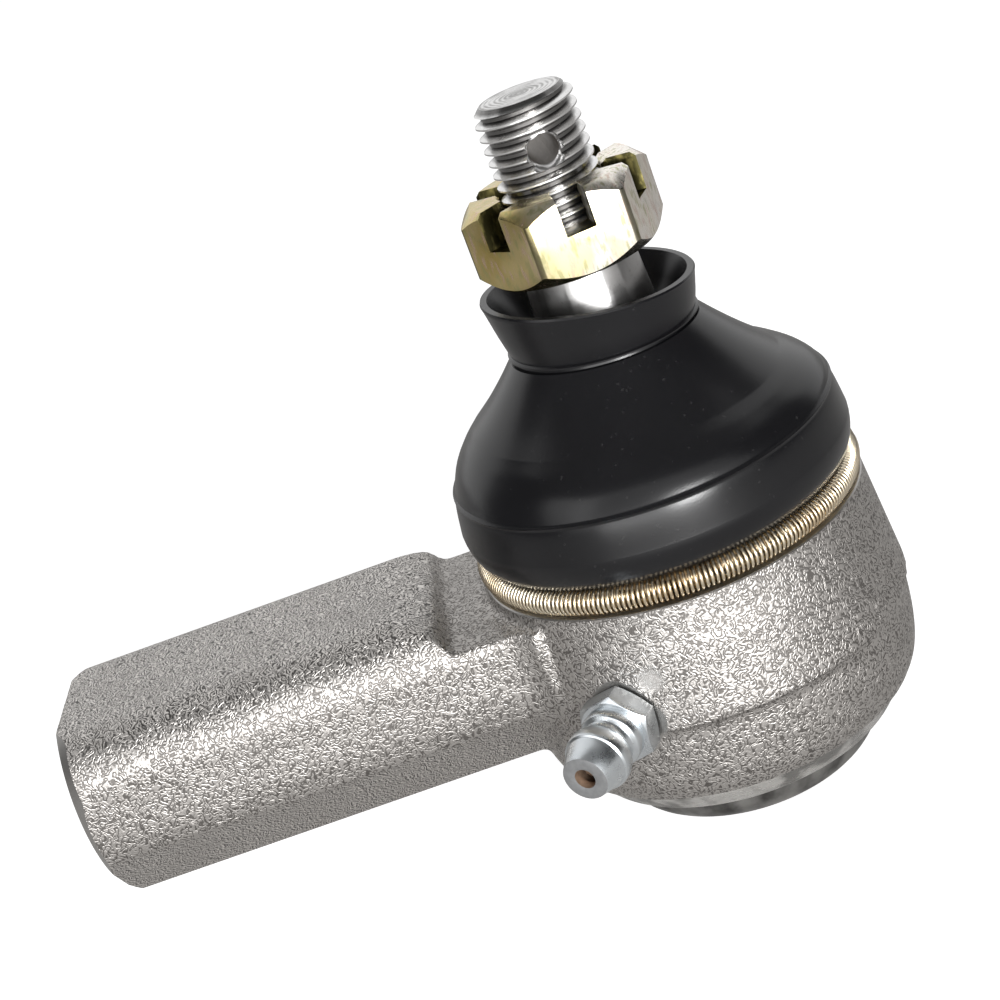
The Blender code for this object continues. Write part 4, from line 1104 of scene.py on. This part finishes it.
def dark_card(name, location, width, height, grey):
    """A card that faces the part and shows only in reflections."""
    facing = (ball_centre - Vector(location)).to_track_quat("Z", "Y")
    bpy.ops.mesh.primitive_plane_add(size=1, location=location, rotation=facing.to_euler())
    card = bpy.context.object
    card.name = name
    card.scale = (width, height, 1)
    finish = new_finish(name)
    card.data.materials.append(finish.surface(Base_Color=(grey, grey, grey, 1), Roughness=1.0))
    card.visible_camera = False
    card.visible_diffuse = False
    card.visible_shadow = False


dark_card("card_left", (-0.9, -0.05, 0.35), 1.1, 1.0, 0.02)
dark_card("card_right", (0.9, -0.05, 0.35), 1.1, 1.0, 0.02)
dark_card("card_above", (0, -0.22, 0.85), 1.6, 0.75, 0.22)


def soft_lamp(name, location, width, height, power):
    """A soft lamp that faces the part."""
    lamp = bpy.data.lights.new(name, "AREA")
    lamp.shape = "RECTANGLE"
    lamp.size = width
    lamp.size_y = height
    lamp.energy = power
    stand = bpy.data.objects.new(name, lamp)
    bpy.context.scene.collection.objects.link(stand)
    stand.location = location
    stand.rotation_euler = (ball_centre - Vector(location)).to_track_quat("-Z", "Y").to_euler()
    stand.visible_camera = False


soft_lamp("lamp_at_camera", (0.14, -0.56, 0.16), 0.18, 0.18, 4.2)
soft_lamp("lamp_strip", (-0.12, -0.55, 0.07), 0.50, 0.20, 1.6)
soft_lamp("lamp_left", (-0.60, -0.40, 0.40), 0.40, 0.40, 0.8)

picture_size = 1000
focal_pixels = 2000
camera_elevation = math.radians(21.414)
camera_roll = math.radians(19.814)
camera_distance = 202.71 * MM
aim = Vector((0, 0, 39.61 * MM))
aim_pixel = (637.8, 426.5)

right = Vector((1, 0, 0))
back = Vector((0, -math.cos(camera_elevation), math.sin(camera_elevation)))
up = back.cross(right)
rolled_right = right * math.cos(camera_roll) - up * math.sin(camera_roll)
rolled_up = right * math.sin(camera_roll) + up * math.cos(camera_roll)
shift_x = (aim_pixel[0] - picture_size / 2) / focal_pixels
shift_y = -(aim_pixel[1] - picture_size / 2) / focal_pixels
pan = math.atan2(shift_x, 1)
tilt = math.atan2(shift_y, math.hypot(shift_x, 1))
camera_x = rolled_right * math.cos(pan) - back * math.sin(pan)
ahead = -rolled_right * math.sin(pan) - back * math.cos(pan)
camera_y = rolled_up * math.cos(tilt) + ahead * math.sin(tilt)
camera_ahead = ahead * math.cos(tilt) - rolled_up * math.sin(tilt)
turn = Matrix((camera_x, camera_y, -camera_ahead)).transposed().to_4x4()

camera = bpy.data.objects.new("camera", bpy.data.cameras.new("camera"))
bpy.context.scene.collection.objects.link(camera)
camera.data.sensor_width = 36
camera.data.lens = focal_pixels / picture_size * camera.data.sensor_width
camera.data.clip_start = 0.01
camera.matrix_world = Matrix.Translation(aim + back * camera_distance) @ turn
bpy.context.scene.camera = camera
bpy.context.scene.view_settings.view_transform = "Standard"
